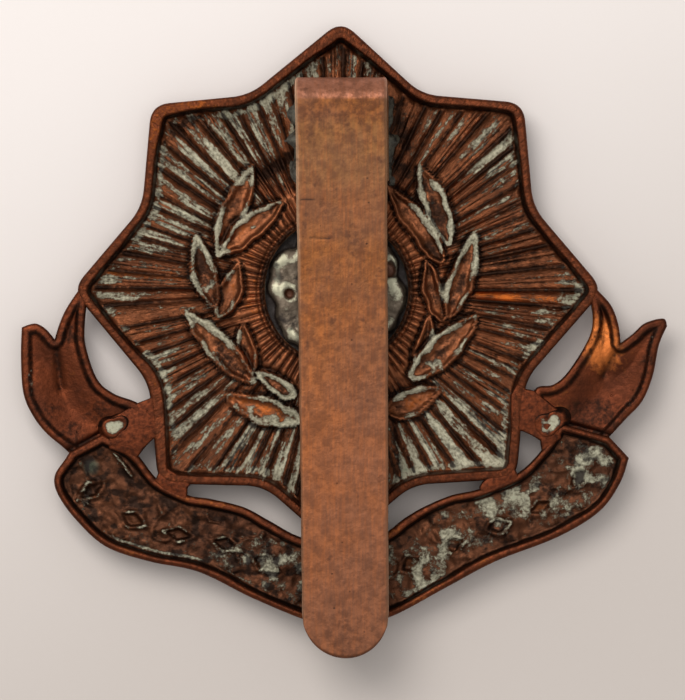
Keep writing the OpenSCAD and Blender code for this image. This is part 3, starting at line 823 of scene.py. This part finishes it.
class PlateSizes(bpy.types.PropertyGroup):
    """Sizes of the struck plate: star, scroll, tails and webs"""

    tip_reach: length("Tip Reach", "Distance from the centre to a star point before its rounding", 17.3)
    valley_reach: length("Valley Reach", "Distance from the centre to the corner between two points", 13.95)
    corner_round: length("Corner Round", "How far a star corner's rounding starts from the corner", 1.2)
    sheet: length("Sheet", "Thickness of the struck sheet", 0.65)
    rim: length("Rim", "Width of the rim round the star", 0.52)
    tray: length("Tray", "Depth of the star's field below its back rim", 1.1)
    opening: length("Opening", "Radius of the opening behind the rosette", 4.8)
    ray_depth: length("Ray Depth", "Depth of a struck ray", 0.34)
    scroll_rim: length("Scroll Rim", "Width of the rim round the scroll", 0.42)
    scroll_tray: length("Scroll Tray", "Depth of the scroll's field below its rim", 0.85)
    tail_rim: length("Tail Rim", "Width of the rim round a ribbon tail", 0.4)
    tail_tray: length("Tail Tray", "Depth of a ribbon tail's hollow", 0.5)
    lozenge_length: length("Lozenge Length", "Length of a lozenge on the scroll", 2.4)
    lozenge_width: length("Lozenge Width", "Width of a lozenge on the scroll", 1.3)
    rays: IntProperty(name="Rays", description="Number of struck rays", default=70, min=24)
    fine_rays: IntProperty(name="Fine Rays", description="Number of fine rays by the rosette", default=84)


class RosetteSizes(bpy.types.PropertyGroup):
    """Sizes of the centre rosette"""

    reach: length("Reach", "Outside radius of the flange", 5.5)
    sheet: length("Sheet", "Thickness of the rosette's sheet", 0.5)
    petal_ring: length("Petal Ring", "Distance from the centre to a petal", 3.0)
    petal_reach: length("Petal Reach", "Radius of a petal's dome", 1.3)
    petal_rise: length("Petal Rise", "Height of a petal's dome", 0.5)
    lobe_ring: length("Lobe Ring", "Distance from the centre to the middle of a lobe on the back", 2.2)
    lobe_reach: length("Lobe Reach", "Radius of a lobe on the back", 2.4)
    petal_turn: FloatProperty(name="Petal Turn", description="Angle of the first petal's dome on the front",
                              default=0, unit="ROTATION", subtype="ANGLE")
    lobe_turn: FloatProperty(name="Lobe Turn", description="Angle of the first lobe on the back",
                             default=np.radians(-16), unit="ROTATION", subtype="ANGLE")
    petals: IntProperty(name="Petals", description="Number of petals", default=6, min=3)


class SliderSizes(bpy.types.PropertyGroup):
    """Sizes of the slider strip"""

    middle: length("Middle", "Distance of the strip's middle to the right of the centre", 0.45)
    width: length("Width", "Width of the strip at its bend", 6.2)
    end_width: length("End Width", "Width of the strip where its round end starts", 5.85)
    strip: length("Strip", "Thickness of the strip", 0.9)
    bend: length("Bend", "Outside radius of the bend at the top", 1.7)
    foot_bend: length("Foot Bend", "Outside radius of the bend at the foot", 1.4)
    foot: length("Foot", "Length of the flat foot", 4.5)
    solder: length("Solder", "Thickness of the solder under the foot", 0.1)
    lean: length("Lean", "How far the strip's free end leans to the right", 0.3)
    turn: FloatProperty(name="Turn", description="Angle that the top bend turns through",
                        default=np.radians(130), unit="ROTATION", subtype="ANGLE")


class FinishColours(bpy.types.PropertyGroup):
    """Colours of the badge's metals, tarnish and residue, of its painted shade and highlights, and of the
    table
    """

    brown: colour("Brown", "Tarnished gilding metal", "8E5434")
    # Umber also carries the painted shade band under the slider's bend.
    umber: colour("Umber", "Deeper tarnish on gilding metal", "4E2E1E")
    rim_brown: colour("Rim Brown", "Handled gilding metal on the rims", "643019")
    rim_shade: colour("Rim Shade", "Deeper tarnish on handled metal", "3A1C10")
    scroll_brown: colour("Scroll Brown", "The scroll's tarnished field", "563320")
    scroll_shade: colour("Scroll Shade", "Deeper tarnish in the scroll's field", "3A2216")
    copper: colour("Copper", "Rubbed bright metal", "B4642F")
    orange: colour("Orange", "Brightest fresh copper", "C46828")
    # Soot and painted shade: dirt in grooves and hollows, and the painted shade in ray grooves, creases,
    # seams, round the opening and at the feet of rims
    soot_and_shade: colour("Soot", "Dirt in grooves and hollows", "1C110B")
    crust_pale: colour("Pale Crust", "Light residue", "D6D3B6")
    crust_dull: colour("Dull Crust", "Darker residue", "5E5A48")
    verdigris: colour("Verdigris", "Green corrosion", "3E5A44")
    white_metal: colour("White Metal", "The rosette's metal", "8A7C6A")
    white_dull: colour("Dull White Metal", "The rosette's tarnish", "42362A")
    slider_high: colour("Upper Slider", "The slider near its bend", "845024")
    slider_low: colour("Lower Slider", "The slider below its middle", "8A5230")
    slider_stain: colour("Slider Stain", "Purple-grey stains on the slider", "66412F")
    slider_olive: colour("Slider Olive", "Gold-olive mottle on the slider", "80592A")
    # Painted highlight on the slider's bend.
    slider_fold_highlight: colour("Slider Fold", "The pinkish brown of the slider's fold", "BF8067")
    # Rubbed edges, and the painted highlight down the slider's left edge.
    slider_edge_and_highlight: colour("Slider Edge", "The slider's rubbed edges", "F4CDA8")
    solder: colour("Solder", "The solder's grey", "77756C")
    table: colour("Table", "The table", "F2EBE7")
    # Painted shade: the table where it is further from the window light.
    table_shade: colour("Table Shade", "The table where it is further from the window", "CDC4BD")


class StageSettings(bpy.types.PropertyGroup):
    """The table, the lights and the camera"""

    table_size: length("Table Size", "Side of the table top", 900)
    camera_height: length("Camera Height", "Height of the camera over the back rim", 400)
    view_height: length("View Height", "Height of the view at the back rim", 46.667)
    view_below: length("View Below", "How far the view's middle lies below the star's centre", 4)
    key_power: FloatProperty(name="Key Power", description="Power of the window light", default=0.52,
                             unit="POWER")
    fill_power: FloatProperty(name="Fill Power", description="Power of the fill light", default=0.5,
                              unit="POWER")
    sky: FloatProperty(name="Sky", description="Strength of the light from all round", default=0.46)


# ---------------------------------------------------------------- operators

class BADGE_OT_star(bpy.types.Operator):
    """Builds the star's tray with its rim, rays and laurel wreath"""

    bl_idname = "badge.star"
    bl_label = "Star"

    def execute(self, context):
        size, finish = context.scene.badge_plate, context.scene.badge_finish
        bm = ring_blank(800, 78, 30, hole=True)
        bx, by, bz = blank_places(bm)
        ring = np.hypot(bx, by) - 1
        back = bz > -0.5
        line = star_line(size)
        edge_turn = np.unwrap(np.arctan2(line[:, 1], line[:, 0]))
        turn = np.arctan2(by, bx) % (2 * np.pi)
        reach = np.interp(turn, edge_turn, np.hypot(*line.T), period=2 * np.pi)
        rim_share = 0.78 - 0.1 * ~back
        rim_start = 1.6
        hole = size.opening / MM
        even = ring / rim_share
        inner = hole + (reach - rim_start - hole) * (even - 0.12 * np.sin(np.pi * np.clip(even, 0, 1)))
        outer = reach - rim_start * (1 - ring) / (1 - rim_share)
        radius = np.where(ring < rim_share, inner, outer)
        x, y = radius * np.cos(turn), radius * np.sin(turn)
        gap = clearance(x, y, line)
        depth, sheet = size.tray / MM, size.sheet / MM
        rim = size.rim / MM * (1 + 0.16 * drift(x, y, 2.3, 14)) + 0.3 * places(x, y, WIDE_RIM_PLACES)
        height, floor = rim_height(gap, x, y, rim, depth, 0.26)
        relief, masks = star_relief(x, y, size)
        inside = step(rim + 0.16, rim + 0.5, gap)
        lip = 0.1 * bump(radius - hole, 0.08) * inside
        top = height + relief * inside - lip
        under = -depth - sheet + 0.55 * (1 - step(0, 1.0, gap)) ** 2 + 0.7 * relief * inside
        under += lip
        z = np.where(back, top, under)
        # Painted shadow: a dark line at the foot of the rim's inner wall, stronger towards the top of the
        # star.
        foot = bump(gap - rim - 0.16, 0.14) * (0.9 - 0.4 * step(-2, -8, y))
        masks["dark"] = np.where(back, np.maximum(masks["dark"] * inside, foot), 0.2)
        near = places(x, y, CRUST_PLACES) * bump(gap - rim - 0.5, 0.35)
        masks["crust"] = np.where(back, np.maximum(masks["crust"] * inside, 0.8 * near) * floor, 0)
        fresh = places(x, y, FRESH_RIM_PLACES)
        edge_glow = (1 - floor) * (0.2 * drift(x, y, 3.0, 31) + fresh)
        masks["bright"] = np.where(back, masks["bright"] * inside + edge_glow, 0.35 + 0.6 * relief)
        masks["green"] = places(x, y, GREEN_PLACES) * inside * back
        masks["worn"] = 1 - floor
        material = struck_metal("Old gilding metal", finish.brown, finish.umber, finish.orange, finish)
        add_piece("Star_field", bm, (x, y, z), material, ["star_plate"], masks)
        return {"FINISHED"}


def ribbon_patch(columns, rows, low, high, left, right):
    """A band blank fitted between four edge lines: its blank, its back mask and its places."""
    bm = band_blank(columns, rows)
    u, v, bz = blank_places(bm)
    bottom, top = along(low, u), along(high, u)
    side, far = along(left, v), along(right, v)
    u, v = u[:, None], v[:, None]
    corners = (1 - u) * (1 - v) * low[0] + u * (1 - v) * low[-1] + (1 - u) * v * high[0] + u * v * high[-1]
    xy = (1 - v) * bottom + v * top + (1 - u) * side + u * far - corners
    return bm, bz > -0.5, xy[:, 0], xy[:, 1]


class BADGE_OT_scroll(bpy.types.Operator):
    """Builds the ribbon scroll with its rim, lozenges and rough field"""

    bl_idname = "badge.scroll"
    bl_label = "Scroll"

    def execute(self, context):
        size, finish = context.scene.badge_plate, context.scene.badge_finish
        low, high = smooth_line(SCROLL_LOW), smooth_line(SCROLL_HIGH)
        left = np.array([low[0], (-17.8, -10.8), high[0]])
        right = np.array([low[-1], (18.2, -9.8), high[-1]])
        bm, back, x, y = ribbon_patch(330, 52, low, high, left, right)
        gap = clearance(x, y, scroll_line())
        depth, sheet = size.scroll_tray / MM, size.sheet / MM
        rim = size.scroll_rim / MM * (1 + 0.16 * drift(x, y, 2.3, 14))
        height, floor = rim_height(gap, x, y, rim, depth, 0.24)
        half_length, half_width = size.lozenge_length / MM / 2, size.lozenge_width / MM / 2
        lip, bowl = np.zeros_like(x), np.zeros_like(x)
        for cx, cy, degrees in LOZENGES:
            c, s = np.cos(np.radians(degrees)), np.sin(np.radians(degrees))
            px, py = (x - cx) * c + (y - cy) * s, (y - cy) * c - (x - cx) * s
            q = np.abs(px) / half_length + np.abs(py) / half_width + 0.22 * drift(x, y, 0.6, 41)
            lip = np.maximum(lip, bump(q - 0.88, 0.26) * (0.8 + 0.6 * drift(x, y, 0.55, 48)))
            bowl = np.maximum(bowl, 1 - step(0.5, 0.8, q))
        rough = 0.08 * drift(x, y, 0.5, 42) + 0.08 * drift(x, y, 1.3, 43) + 0.04 * drift(x, y, 0.28, 44)
        scar = bump(drift(x, y, 1.15, 49), 0.1) * step(-0.2, 0.3, drift(x, y, 1.7, 40))
        fold = streaks(x, y, SCROLL_FOLDS)
        lip = np.maximum.reduce([lip, 0.7 * scar, fold])
        field = 0.2 * lip - 0.2 * bowl + rough
        inside = step(rim + 0.12, rim + 0.4, gap)
        top = height + field * inside - 0.02
        under = -depth - sheet + 0.45 * (1 - step(0, 0.8, gap)) ** 2 + 0.6 * field * inside
        z = np.where(back, top, under)
        # Painted shadow: a dark line at the foot of the scroll's rim.
        foot = bump(gap - rim - 0.16, 0.14)
        pocks = 0.6 * step(0.05, 0.6, drift(x, y, 0.45, 45) + 0.5 * drift(x, y, 1.1, 50))
        zone = places(x, y, SCROLL_CRUST_PLACES)
        edge_line = bump(gap - rim - 0.33, 0.14) * places(x, y, PALE_RIM_PLACES)
        crust = zone * (0.5 + 0.35 * drift(x, y, 0.6, 46))
        crust = np.maximum.reduce([crust, 0.55 * lip, 0.8 * edge_line]) + 0.08
        beside = bump(lip - 0.35, 0.25) * (lip < 0.6)
        gloom = 0.3 * step(-1.0, -5.0, x) * (1 + drift(x, y, 0.8, 55))
        dirt = (pocks + 0.25 * bowl + 0.3 * beside + gloom) * (1 - lip) * inside
        masks = {
            "dark": np.where(back, np.maximum(0.9 * foot * (1 - edge_line), dirt), 0.2),
            "crust": crust * inside * back,
            "bright": np.where(back, (1 - floor) * (0.1 + 0.3 * drift(x, y, 2.0, 47)) + 0.3 * bowl, 0.3),
            "green": places(x, y, GREEN_PLACES) * inside * back,
            "worn": 1 - floor,
        }
        material = struck_metal("Old gilding metal, scroll", finish.scroll_brown, finish.scroll_shade,
                                finish.copper, finish)
        add_piece("Scroll", bm, (x, y, z), material, ["star_plate"], masks)
        return {"FINISHED"}


class BADGE_OT_tails(bpy.types.Operator):
    """Builds the two dished ribbon tails"""

    bl_idname = "badge.tails"
    bl_label = "Ribbon Tails"

    def execute(self, context):
        size, finish = context.scene.badge_plate, context.scene.badge_finish
        star, scroll = star_line(size), scroll_line()
        for name, tail in (("Ribbon_tail_left", LEFT_TAIL), ("Ribbon_tail_right", RIGHT_TAIL)):
            outer, inner = smooth_line(tail["outer"]), smooth_line(tail["inner"])
            notch = np.vstack([smooth_line(tail["notch"][0]), smooth_line(tail["notch"][1])[1:]])
            fold = np.array(tail["fold"], float)
            bm, back, x, y = ribbon_patch(90, 110, fold, notch, outer, inner)
            gap = clearance(x, y, outer, inner, notch)
            seam = clearance(x, y, star, scroll)
            depth, sheet = size.tail_tray / MM, size.sheet / MM
            rim = size.tail_rim / MM * (1 + 0.16 * drift(x, y, 2.3, 14))
            height, floor = rim_height(gap, x, y, rim, 0.45 * depth, 0.35)
            dish = -0.55 * depth * step(0.5, 2.6, gap) + 0.08 * drift(x, y, 2.2, 51)
            crease_line = np.array([tail["notch"][0][-1], np.add(tail["notch"][0][-1], (0.4, -3.2))])
            if name.endswith("right"):
                crease_line = np.array([tail["notch"][0][-1], np.add(tail["notch"][0][-1], (-1.1, -2.2))])
            crease = bump(clearance(x, y, crease_line), 0.28)
            ditch = bump(seam - 0.1, 0.2) * (y < -8.4)
            top = height + dish * floor - 0.16 * crease * floor - 0.2 * ditch - 0.03
            under = -depth - sheet + 0.4 * (1 - step(0, 0.8, gap)) ** 2 + 0.5 * dish * floor
            z = np.where(back, top, under)
            # Painted shade: the dark mask darkens the foot of the rim, the crease and the ditch at the seam
            # with the star and scroll; the drift adds random tarnish.
            masks = {
                "dark": np.where(back, np.maximum.reduce([
                    0.7 * bump(gap - rim - 0.15, 0.22), 0.6 * crease, 0.75 * ditch,
                    0.5 * step(0.0, 0.8, drift(x, y, 1.6, 54))]), 0.2),
                "crust": 0.36 * bump(gap - 0.6, 0.3) * step(0.0, 0.6, drift(x, y, 1.1, 52)) * back,
                "bright": (1 - floor) * 0.12 + floor * (0.08 + 0.2 * drift(x, y, 2.6, 53))
                + 0.9 * places(x, y, FRESH_TAIL_PLACES),
                "green": np.zeros_like(x),
            }
            add_piece(name, bm, (x, y, z), handled_metal(finish), ["star_plate"], masks)
        return {"FINISHED"}


class BADGE_OT_webs(bpy.types.Operator):
    """Builds the small webs that tie the scroll to the star, and the scroll's curled ends"""

    bl_idname = "badge.webs"
    bl_label = "Webs and Curls"

    def execute(self, context):
        size, finish = context.scene.badge_plate, context.scene.badge_finish
        material = handled_metal(finish)
        depth = size.tail_tray / MM + size.sheet / MM
        for name, outline in (
            ("Web_left", LEFT_WEB), ("Web_right", RIGHT_WEB),
            ("Tie_left", LEFT_TIE), ("Tie_right", RIGHT_TIE),
        ):
            bm = bmesh.new()
            face = bm.faces.new([bm.verts.new((x, y, -0.04)) for x, y in outline])
            skin = bmesh.ops.extrude_face_region(bm, geom=[face], use_keep_orig=True)
            moved = [g for g in skin["geom"] if isinstance(g, bmesh.types.BMVert)]
            bmesh.ops.translate(bm, verts=moved, vec=(0, 0, 0.04 - depth))
            bmesh.ops.recalc_face_normals(bm, faces=bm.faces)
            bmesh.ops.bevel(bm, geom=bm.edges[:], offset=0.12, segments=4, profile=0.5, affect="EDGES",
                            material=-1, clamp_overlap=True)
            bmesh.ops.triangulate(bm, faces=[f for f in bm.faces if len(f.verts) > 4])
            x, y, z = blank_places(bm)
            masks = {"dark": np.full(x.shape, 0.12), "crust": np.zeros_like(x), "worn": np.ones_like(x),
                     "bright": 0.15 * drift(x, y, 1.5, 56), "green": np.zeros_like(x)}
            add_piece(name, bm, (x, y, z), material, ["star_plate"], masks)
        for name, (cx, cy), reach, full in (
            ("Curl_left", (-14.8, -9.1), 1.0, 0.6), ("Curl_right", (14.2, -8.9), 1.2, 1.0),
        ):
            bm = ring_blank(96, 14, 6, hole=False)
            bx, by, bz = blank_places(bm)
            ring = np.clip(np.hypot(bx, by) - 1, 0, 1)
            ring = np.where(np.hypot(bx, by) < 0.5, 0, 0.08 + 0.92 * ring)
            turn = np.arctan2(by, bx)
            back = bz > -0.5
            radius = reach * ring * (1 + 0.2 * np.sin(turn * 2 + 0.6) + 0.1 * np.sin(turn * 3))
            x, y = cx + radius * np.cos(turn), cy + radius * np.sin(turn)
            roll = -0.02 + 0.04 * bump(ring - 0.6, 0.2) - 0.3 * step(0.7, 1.0, ring)
            z = np.where(back, roll + 0.05 * drift(x, y, 0.5, 61), -depth)
            # Painted shadow: the upper part of each curl's outer ring is darkened, so the crusted disc
            # reads as a hollow.
            upper = 0.5 + 0.5 * np.sin(turn)
            ragged = 0.35 + 0.3 * full + 0.5 * drift(x, y, 0.5, 63)
            dirt = 0.5 * step(0.1, 0.6, drift(x, y, 0.45, 62))
            masks = {"dark": 0.9 * upper * step(0.62, 0.8, ring) + dirt,
                     "crust": (1 - step(0.3, 0.8, ring)) * ragged * back,
                     "bright": np.full(x.shape, 0.1), "green": (1 - step(0.3, 0.7, ring)) * 0.3}
            add_piece(name, bm, (x, y, z), material, ["star_plate"], masks)
        return {"FINISHED"}


class BADGE_OT_rosette(bpy.types.Operator):
    """Builds the domed rosette behind the opening and its ring of solder"""

    bl_idname = "badge.rosette"
    bl_label = "Rosette"

    def execute(self, context):
        size, plate = context.scene.badge_rosette, context.scene.badge_plate
        finish = context.scene.badge_finish
        flange = -(plate.tray + plate.sheet) / MM - 0.1
        bm = ring_blank(240, 66, 50, hole=False)
        bx, by, bz = blank_places(bm)
        spun = np.hypot(bx, by)
        ring = np.where(spun < 0.5, 0, 0.02 + 0.98 * np.clip(spun - 1, 0, 1))
        turn, back = np.arctan2(by, bx), bz > -0.5
        radius = size.reach / MM * ring
        x, y = radius * np.cos(turn), radius * np.sin(turn)
        pitch = 2 * np.pi / size.petals
        dome_turn = (turn - size.petal_turn + pitch / 2) % pitch - pitch / 2
        petal = np.hypot(radius * np.cos(dome_turn) - size.petal_ring / MM, radius * np.sin(dome_turn))
        petal /= size.petal_reach / MM
        lobe = (turn - size.lobe_turn + pitch / 2) % pitch - pitch / 2
        boss = radius / 1.2
        dome = np.maximum(np.clip(1 - petal**2, 0, 1), np.clip(1 - boss**2, 0, 1))
        outline = np.hypot(radius * np.cos(lobe) - size.lobe_ring / MM, radius * np.sin(lobe))
        outline += 0.16 * drift(x, y, 0.9, 73) - size.lobe_reach / MM
        plateau = 1 - step(-0.15, 0.2, outline)
        # Painted highlight: these ridges and the rings round the hollows carry the crust mask, which paints
        # them pale.
        ridge = bump(outline + 0.5, 0.45) * (0.55 + 0.7 * drift(x, y, 1.0, 77))
        hollow = np.zeros_like(x)
        for angle, ring_at, reach in HOLLOWS:
            (cx, cy), = polar(ring_at, [angle])
            far = np.hypot(x - cx, y - cy) + 0.12 * drift(x, y, 0.6, 75)
            hollow = np.maximum(hollow, 1 - step(0.6 * reach, 1.1 * reach, far))
            around = bump(far - 1.4 * reach, 0.25) * (0.6 + 0.8 * drift(x, y, 0.8, 76))
            ridge = np.maximum(ridge, around)
        rise = size.petal_rise / MM
        rim = step(4.55, 4.9, radius)
        soft = 0.07 * drift(x, y, 0.9, 71) + 0.04 * drift(x, y, 0.4, 74)
        dish = np.clip(1 - (radius / 1.9) ** 2, 0, 1)
        raised = 0.3 * plateau + 0.12 * ridge * plateau - 0.4 * hollow - 0.35 * dish
        top = flange - 0.05 + (raised + soft) * (1 - rim)
        under = flange - size.sheet / MM - rise * dome**0.8 - 0.05
        edge = 0.1 * step(0.97, 1.0, ring)
        z = np.where(back, top - edge, under + edge)
        blotch = 0.5 * step(0.1, 0.7, drift(x, y, 0.8, 78))
        # Painted shadow: rim darkens the ring at the rosette's edge, by the opening's step.
        masks = {"dark": np.maximum.reduce([0.9 * hollow, 0.95 * (1 - plateau), rim * 0.8, blotch]) * back,
                 "bright": 0.45 * hollow * back, "crust": ridge * plateau * (1 - hollow) * back}
        add_piece("Rosette", bm, (x, y, z), rosette_metal(finish), ["centre_rosette"], masks)

        bm = ring_blank(160, 8, 8, hole=True)
        bx, by, bz = blank_places(bm)
        ring, turn = np.hypot(bx, by) - 1, np.arctan2(by, bx)
        inner = plate.opening / MM - 0.02 + 0.07 * drift(4 * np.cos(turn), 4 * np.sin(turn), 0.7, 72)
        radius = inner + (size.reach / MM - inner) * ring
        x, y = radius * np.cos(turn), radius * np.sin(turn)
        z = flange + np.where(bz > -0.5, 0.1, 0.0)
        add_piece("Rosette_solder", bm, (x, y, z), solder_metal(finish), ["rosette_solder"])
        return {"FINISHED"}


class BADGE_OT_slider(bpy.types.Operator):
    """Builds the bent slider strip and the solder round its foot"""

    bl_idname = "badge.slider"
    bl_label = "Slider"

    def execute(self, context):
        size, plate = context.scene.badge_slider, context.scene.badge_plate
        finish = context.scene.badge_finish
        tongue_low, tongue_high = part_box("slider_tongue")
        foot_low, foot_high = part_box("slider_foot")
        strip = size.strip / MM
        mid_z = tongue_high.z / MM - strip / 2
        bend_y = foot_high.y / MM - size.bend / MM
        bend_mid = size.bend / MM - strip / 2
        foot_mid = size.foot_bend / MM - strip / 2
        bend_z = mid_z - bend_mid
        foot_z = foot_low.z / MM + strip / 2
        toe_y = foot_low.y / MM
        heel_y = toe_y + size.foot / MM
        arc = np.linspace(0, 1, 24)
        top_turn = np.pi / 2 - size.turn * arc
        top = polar(bend_mid, np.degrees(top_turn)) + (bend_y, bend_z)
        heel_turn = -np.pi / 2 + (np.pi - size.turn) * arc[::-1]
        heel_centre = foot_z + foot_mid
        heel = polar(foot_mid, np.degrees(heel_turn)) + (heel_y, heel_centre)
        end_y = tongue_low.y / MM
        path = np.vstack([[(end_y, mid_z)], top, heel, [(toe_y, foot_z)]])
        travel = np.concatenate([[0], np.cumsum(np.hypot(*np.diff(path, axis=0).T))])

        bm = band_blank(520, 44)
        u, v, bz = blank_places(bm)
        across = 2 * v - 1
        way = u * travel[-1]
        half_end = size.end_width / MM / 2
        half = np.interp(way, [half_end, bend_y - end_y, travel[-1]],
                         [half_end, size.width / MM / 2, size.width / MM / 2])
        round_off = half_end - np.sqrt(np.clip(half_end**2 - (across * half_end) ** 2, 0, None))
        way = way + round_off * (1 - step(0, 2.4 * half_end, way))
        mid = np.stack([np.interp(way, travel, path[:, k]) for k in (0, 1)], -1)
        ahead = np.stack([np.interp(way + 0.05, travel, path[:, k]) for k in (0, 1)], -1)
        behind = np.stack([np.interp(way - 0.05, travel, path[:, k]) for k in (0, 1)], -1)
        along_path = ahead - behind
        along_path /= np.linalg.norm(along_path, axis=1)[:, None]
        side = np.where(bz > -0.5, 1.0, -1.0)
        edge = half * (1 - np.abs(across))
        tip_gap = np.minimum(way - round_off, 9)
        ends = np.minimum(edge, np.minimum(tip_gap, travel[-1] - way))
        wear = 0.16 * np.clip(1 - ends / 0.2, 0, 1) ** 2
        scratches = streaks(mid[:, 0], across * half, SLIDER_SCRATCHES) * (mid[:, 1] > 1) * (bz > -0.5)
        thick = strip / 2 - wear - 0.03 * scratches
        normal_y, normal_z = -along_path[:, 1], along_path[:, 0]
        swell = 0.025 * drift(across * 2, mid[:, 0], 2.6, 81)
        y = mid[:, 0] + side * thick * normal_y
        z = mid[:, 1] + side * thick * normal_z + swell * (thick > 0)
        upper = step(-1.0, 2.4, mid[:, 1])
        lean = (size.lean / MM * np.clip((9.0 - mid[:, 0]) / (9.0 - end_y), -0.5, 1) - 0.12) * upper
        ragged = 0.03 * drift(mid[:, 0], across, 1.6, 82)
        x = size.middle / MM + lean + across * (half - wear * 0.4) + ragged
        z = np.minimum(z, tongue_high.z / MM)
        masks = {
            # bright: both edges rubbed, with a painted highlight down the left edge.
            "bright": bump(edge, 0.14) * (0.3 + 0.7 * (across < 0) * step(-2.5, 1.5, mid[:, 0])),
            "dark": np.maximum(scratches, 0.3 * bump(tip_gap, 0.15)),
            # Stains, and a painted shade band under the bend.
            "stain_and_shade": places(x, y, SLIDER_STAINS_AND_SHADE) * (mid[:, 1] > 1),
            "olive": step(5.5, 8.0, y) * (1 - step(10.8, 11.8, y)),
            # fold: where the bend's painted highlight lies.
            "fold": step(12.55, 12.8, y),
        }
        piece = add_piece("Slider", bm, (x, y, z), slider_metal(finish),
                          ["slider_foot", "slider_tongue"], masks, body=None)
        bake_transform(piece)

        floor = -plate.tray / MM
        bm = ring_blank(200, 26, 5, hole=False)
        bx, by, bz = blank_places(bm)
        spun = np.hypot(bx, by)
        ring = np.where(spun < 0.5, 0, 0.04 + 0.96 * np.clip(spun - 1, 0, 1))
        turn = np.arctan2(by, bx)
        square = 1 / np.maximum(np.abs(np.cos(turn)) ** 5 + np.abs(np.sin(turn)) ** 5, 0.1) ** 0.2
        spread = 1 + 0.12 * drift(np.cos(turn) * 4, np.sin(turn) * 4, 1.0, 83)
        radius = ring * square * spread
        x = size.middle / MM + radius * np.cos(turn) * (size.width / MM / 2 + 0.6)
        y = (heel_y + toe_y) / 2 + 0.5 + radius * np.sin(turn) * (size.foot / MM / 2 + 0.9)
        pool = size.solder / MM + 0.42 * (1 - step(0.72, 1.0, ring)) + 0.05 * drift(x, y, 0.5, 84)
        z = np.where(bz > -0.5, floor + pool - 0.35 * step(0.85, 1.0, ring), floor - 0.3)
        add_piece("Slider_solder", bm, (x, y, z), solder_metal(finish), ["slider_solder"])
        return {"FINISHED"}


class BADGE_OT_stage(bpy.types.Operator):
    """Sets the table, the lights and the camera"""

    bl_idname = "badge.stage"
    bl_label = "Stage"

    def execute(self, context):
        stage, finish = context.scene.badge_stage, context.scene.badge_finish
        lowest = min(corner[2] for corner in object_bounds())
        bm = bmesh.new()
        bmesh.ops.create_grid(bm, x_segments=2, y_segments=2, size=stage.table_size / 2)
        bmesh.ops.translate(bm, verts=bm.verts, vec=(0, 0, lowest))
        mesh = bpy.data.meshes.new("Table")
        bm.to_mesh(mesh)
        bm.free()
        mesh.materials.append(table_top(finish))
        table = bpy.data.objects.new("Table", mesh)
        context.scene.collection.objects.link(table)
        table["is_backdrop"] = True

        for name, place, power, spread, tint in (
            ("Window", (-0.09, 0.13, 0.27), stage.key_power, 0.17, (1.0, 0.97, 0.94)),
            ("Fill", (0.03, 0.02, 0.5), stage.fill_power, 0.3, (0.98, 0.98, 1.0)),
        ):
            light = bpy.data.lights.new(name, "AREA")
            light.energy, light.size, light.color = power, spread, tint
            lamp = bpy.data.objects.new(name, light)
            lamp.location = place
            aim = -lamp.location
            lamp.rotation_euler = aim.to_track_quat("-Z", "Y").to_euler()
            context.scene.collection.objects.link(lamp)
        world = bpy.data.worlds.new("Room")
        world.use_nodes = True
        background = world.node_tree.nodes["Background"]
        background.inputs["Color"].default_value = (1.0, 0.985, 0.97, 1)
        background.inputs["Strength"].default_value = stage.sky
        context.scene.world = world

        camera = bpy.data.cameras.new("Camera")
        camera.sensor_fit = "VERTICAL"
        camera.sensor_height = 24
        camera.lens = camera.sensor_height * stage.camera_height / stage.view_height
        camera.clip_start, camera.clip_end = 0.01, 5
        eye = bpy.data.objects.new("Camera", camera)
        eye.location = (0.0004, -stage.view_below, stage.camera_height)
        context.scene.collection.objects.link(eye)
        context.scene.camera = eye
        context.scene.view_settings.view_transform = "Standard"
        return {"FINISHED"}


class BADGE_PT_panel(bpy.types.Panel):
    """Lists the badge's pieces and its stage"""

    bl_idname = "BADGE_PT_panel"
    bl_label = "Star Cap Badge"
    bl_space_type = "VIEW_3D"
    bl_region_type = "UI"
    bl_category = "Badge"

    def draw(self, context):
        for operator in OPERATORS:
            self.layout.operator(operator.bl_idname)
        for group in SETTINGS:
            box = self.layout.box()
            for key in SETTINGS[group].__annotations__:
                box.prop(getattr(context.scene, group), key)


SETTINGS = {
    "badge_plate": PlateSizes,
    "badge_rosette": RosetteSizes,
    "badge_slider": SliderSizes,
    "badge_finish": FinishColours,
    "badge_stage": StageSettings,
}
OPERATORS = (
    BADGE_OT_star, BADGE_OT_scroll, BADGE_OT_tails, BADGE_OT_webs, BADGE_OT_rosette, BADGE_OT_slider,
    BADGE_OT_stage,
)


def register():
    """Registers the classes and hangs the settings on the scene."""
    for made in (*SETTINGS.values(), *OPERATORS, BADGE_PT_panel):
        bpy.utils.register_class(made)
    for group, made in SETTINGS.items():
        setattr(bpy.types.Scene, group, PointerProperty(type=made))


def unregister():
    """Takes the settings and the classes away again."""
    for group in SETTINGS:
        delattr(bpy.types.Scene, group)
    for made in reversed((*SETTINGS.values(), *OPERATORS, BADGE_PT_panel)):
        bpy.utils.unregister_class(made)


def main():
    """Builds the badge and its stage."""
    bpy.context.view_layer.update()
    register()
    for operator in OPERATORS:
        group, name = operator.bl_idname.split(".")
        getattr(getattr(bpy.ops, group), name)()


if __name__ == "__main__":
    main()
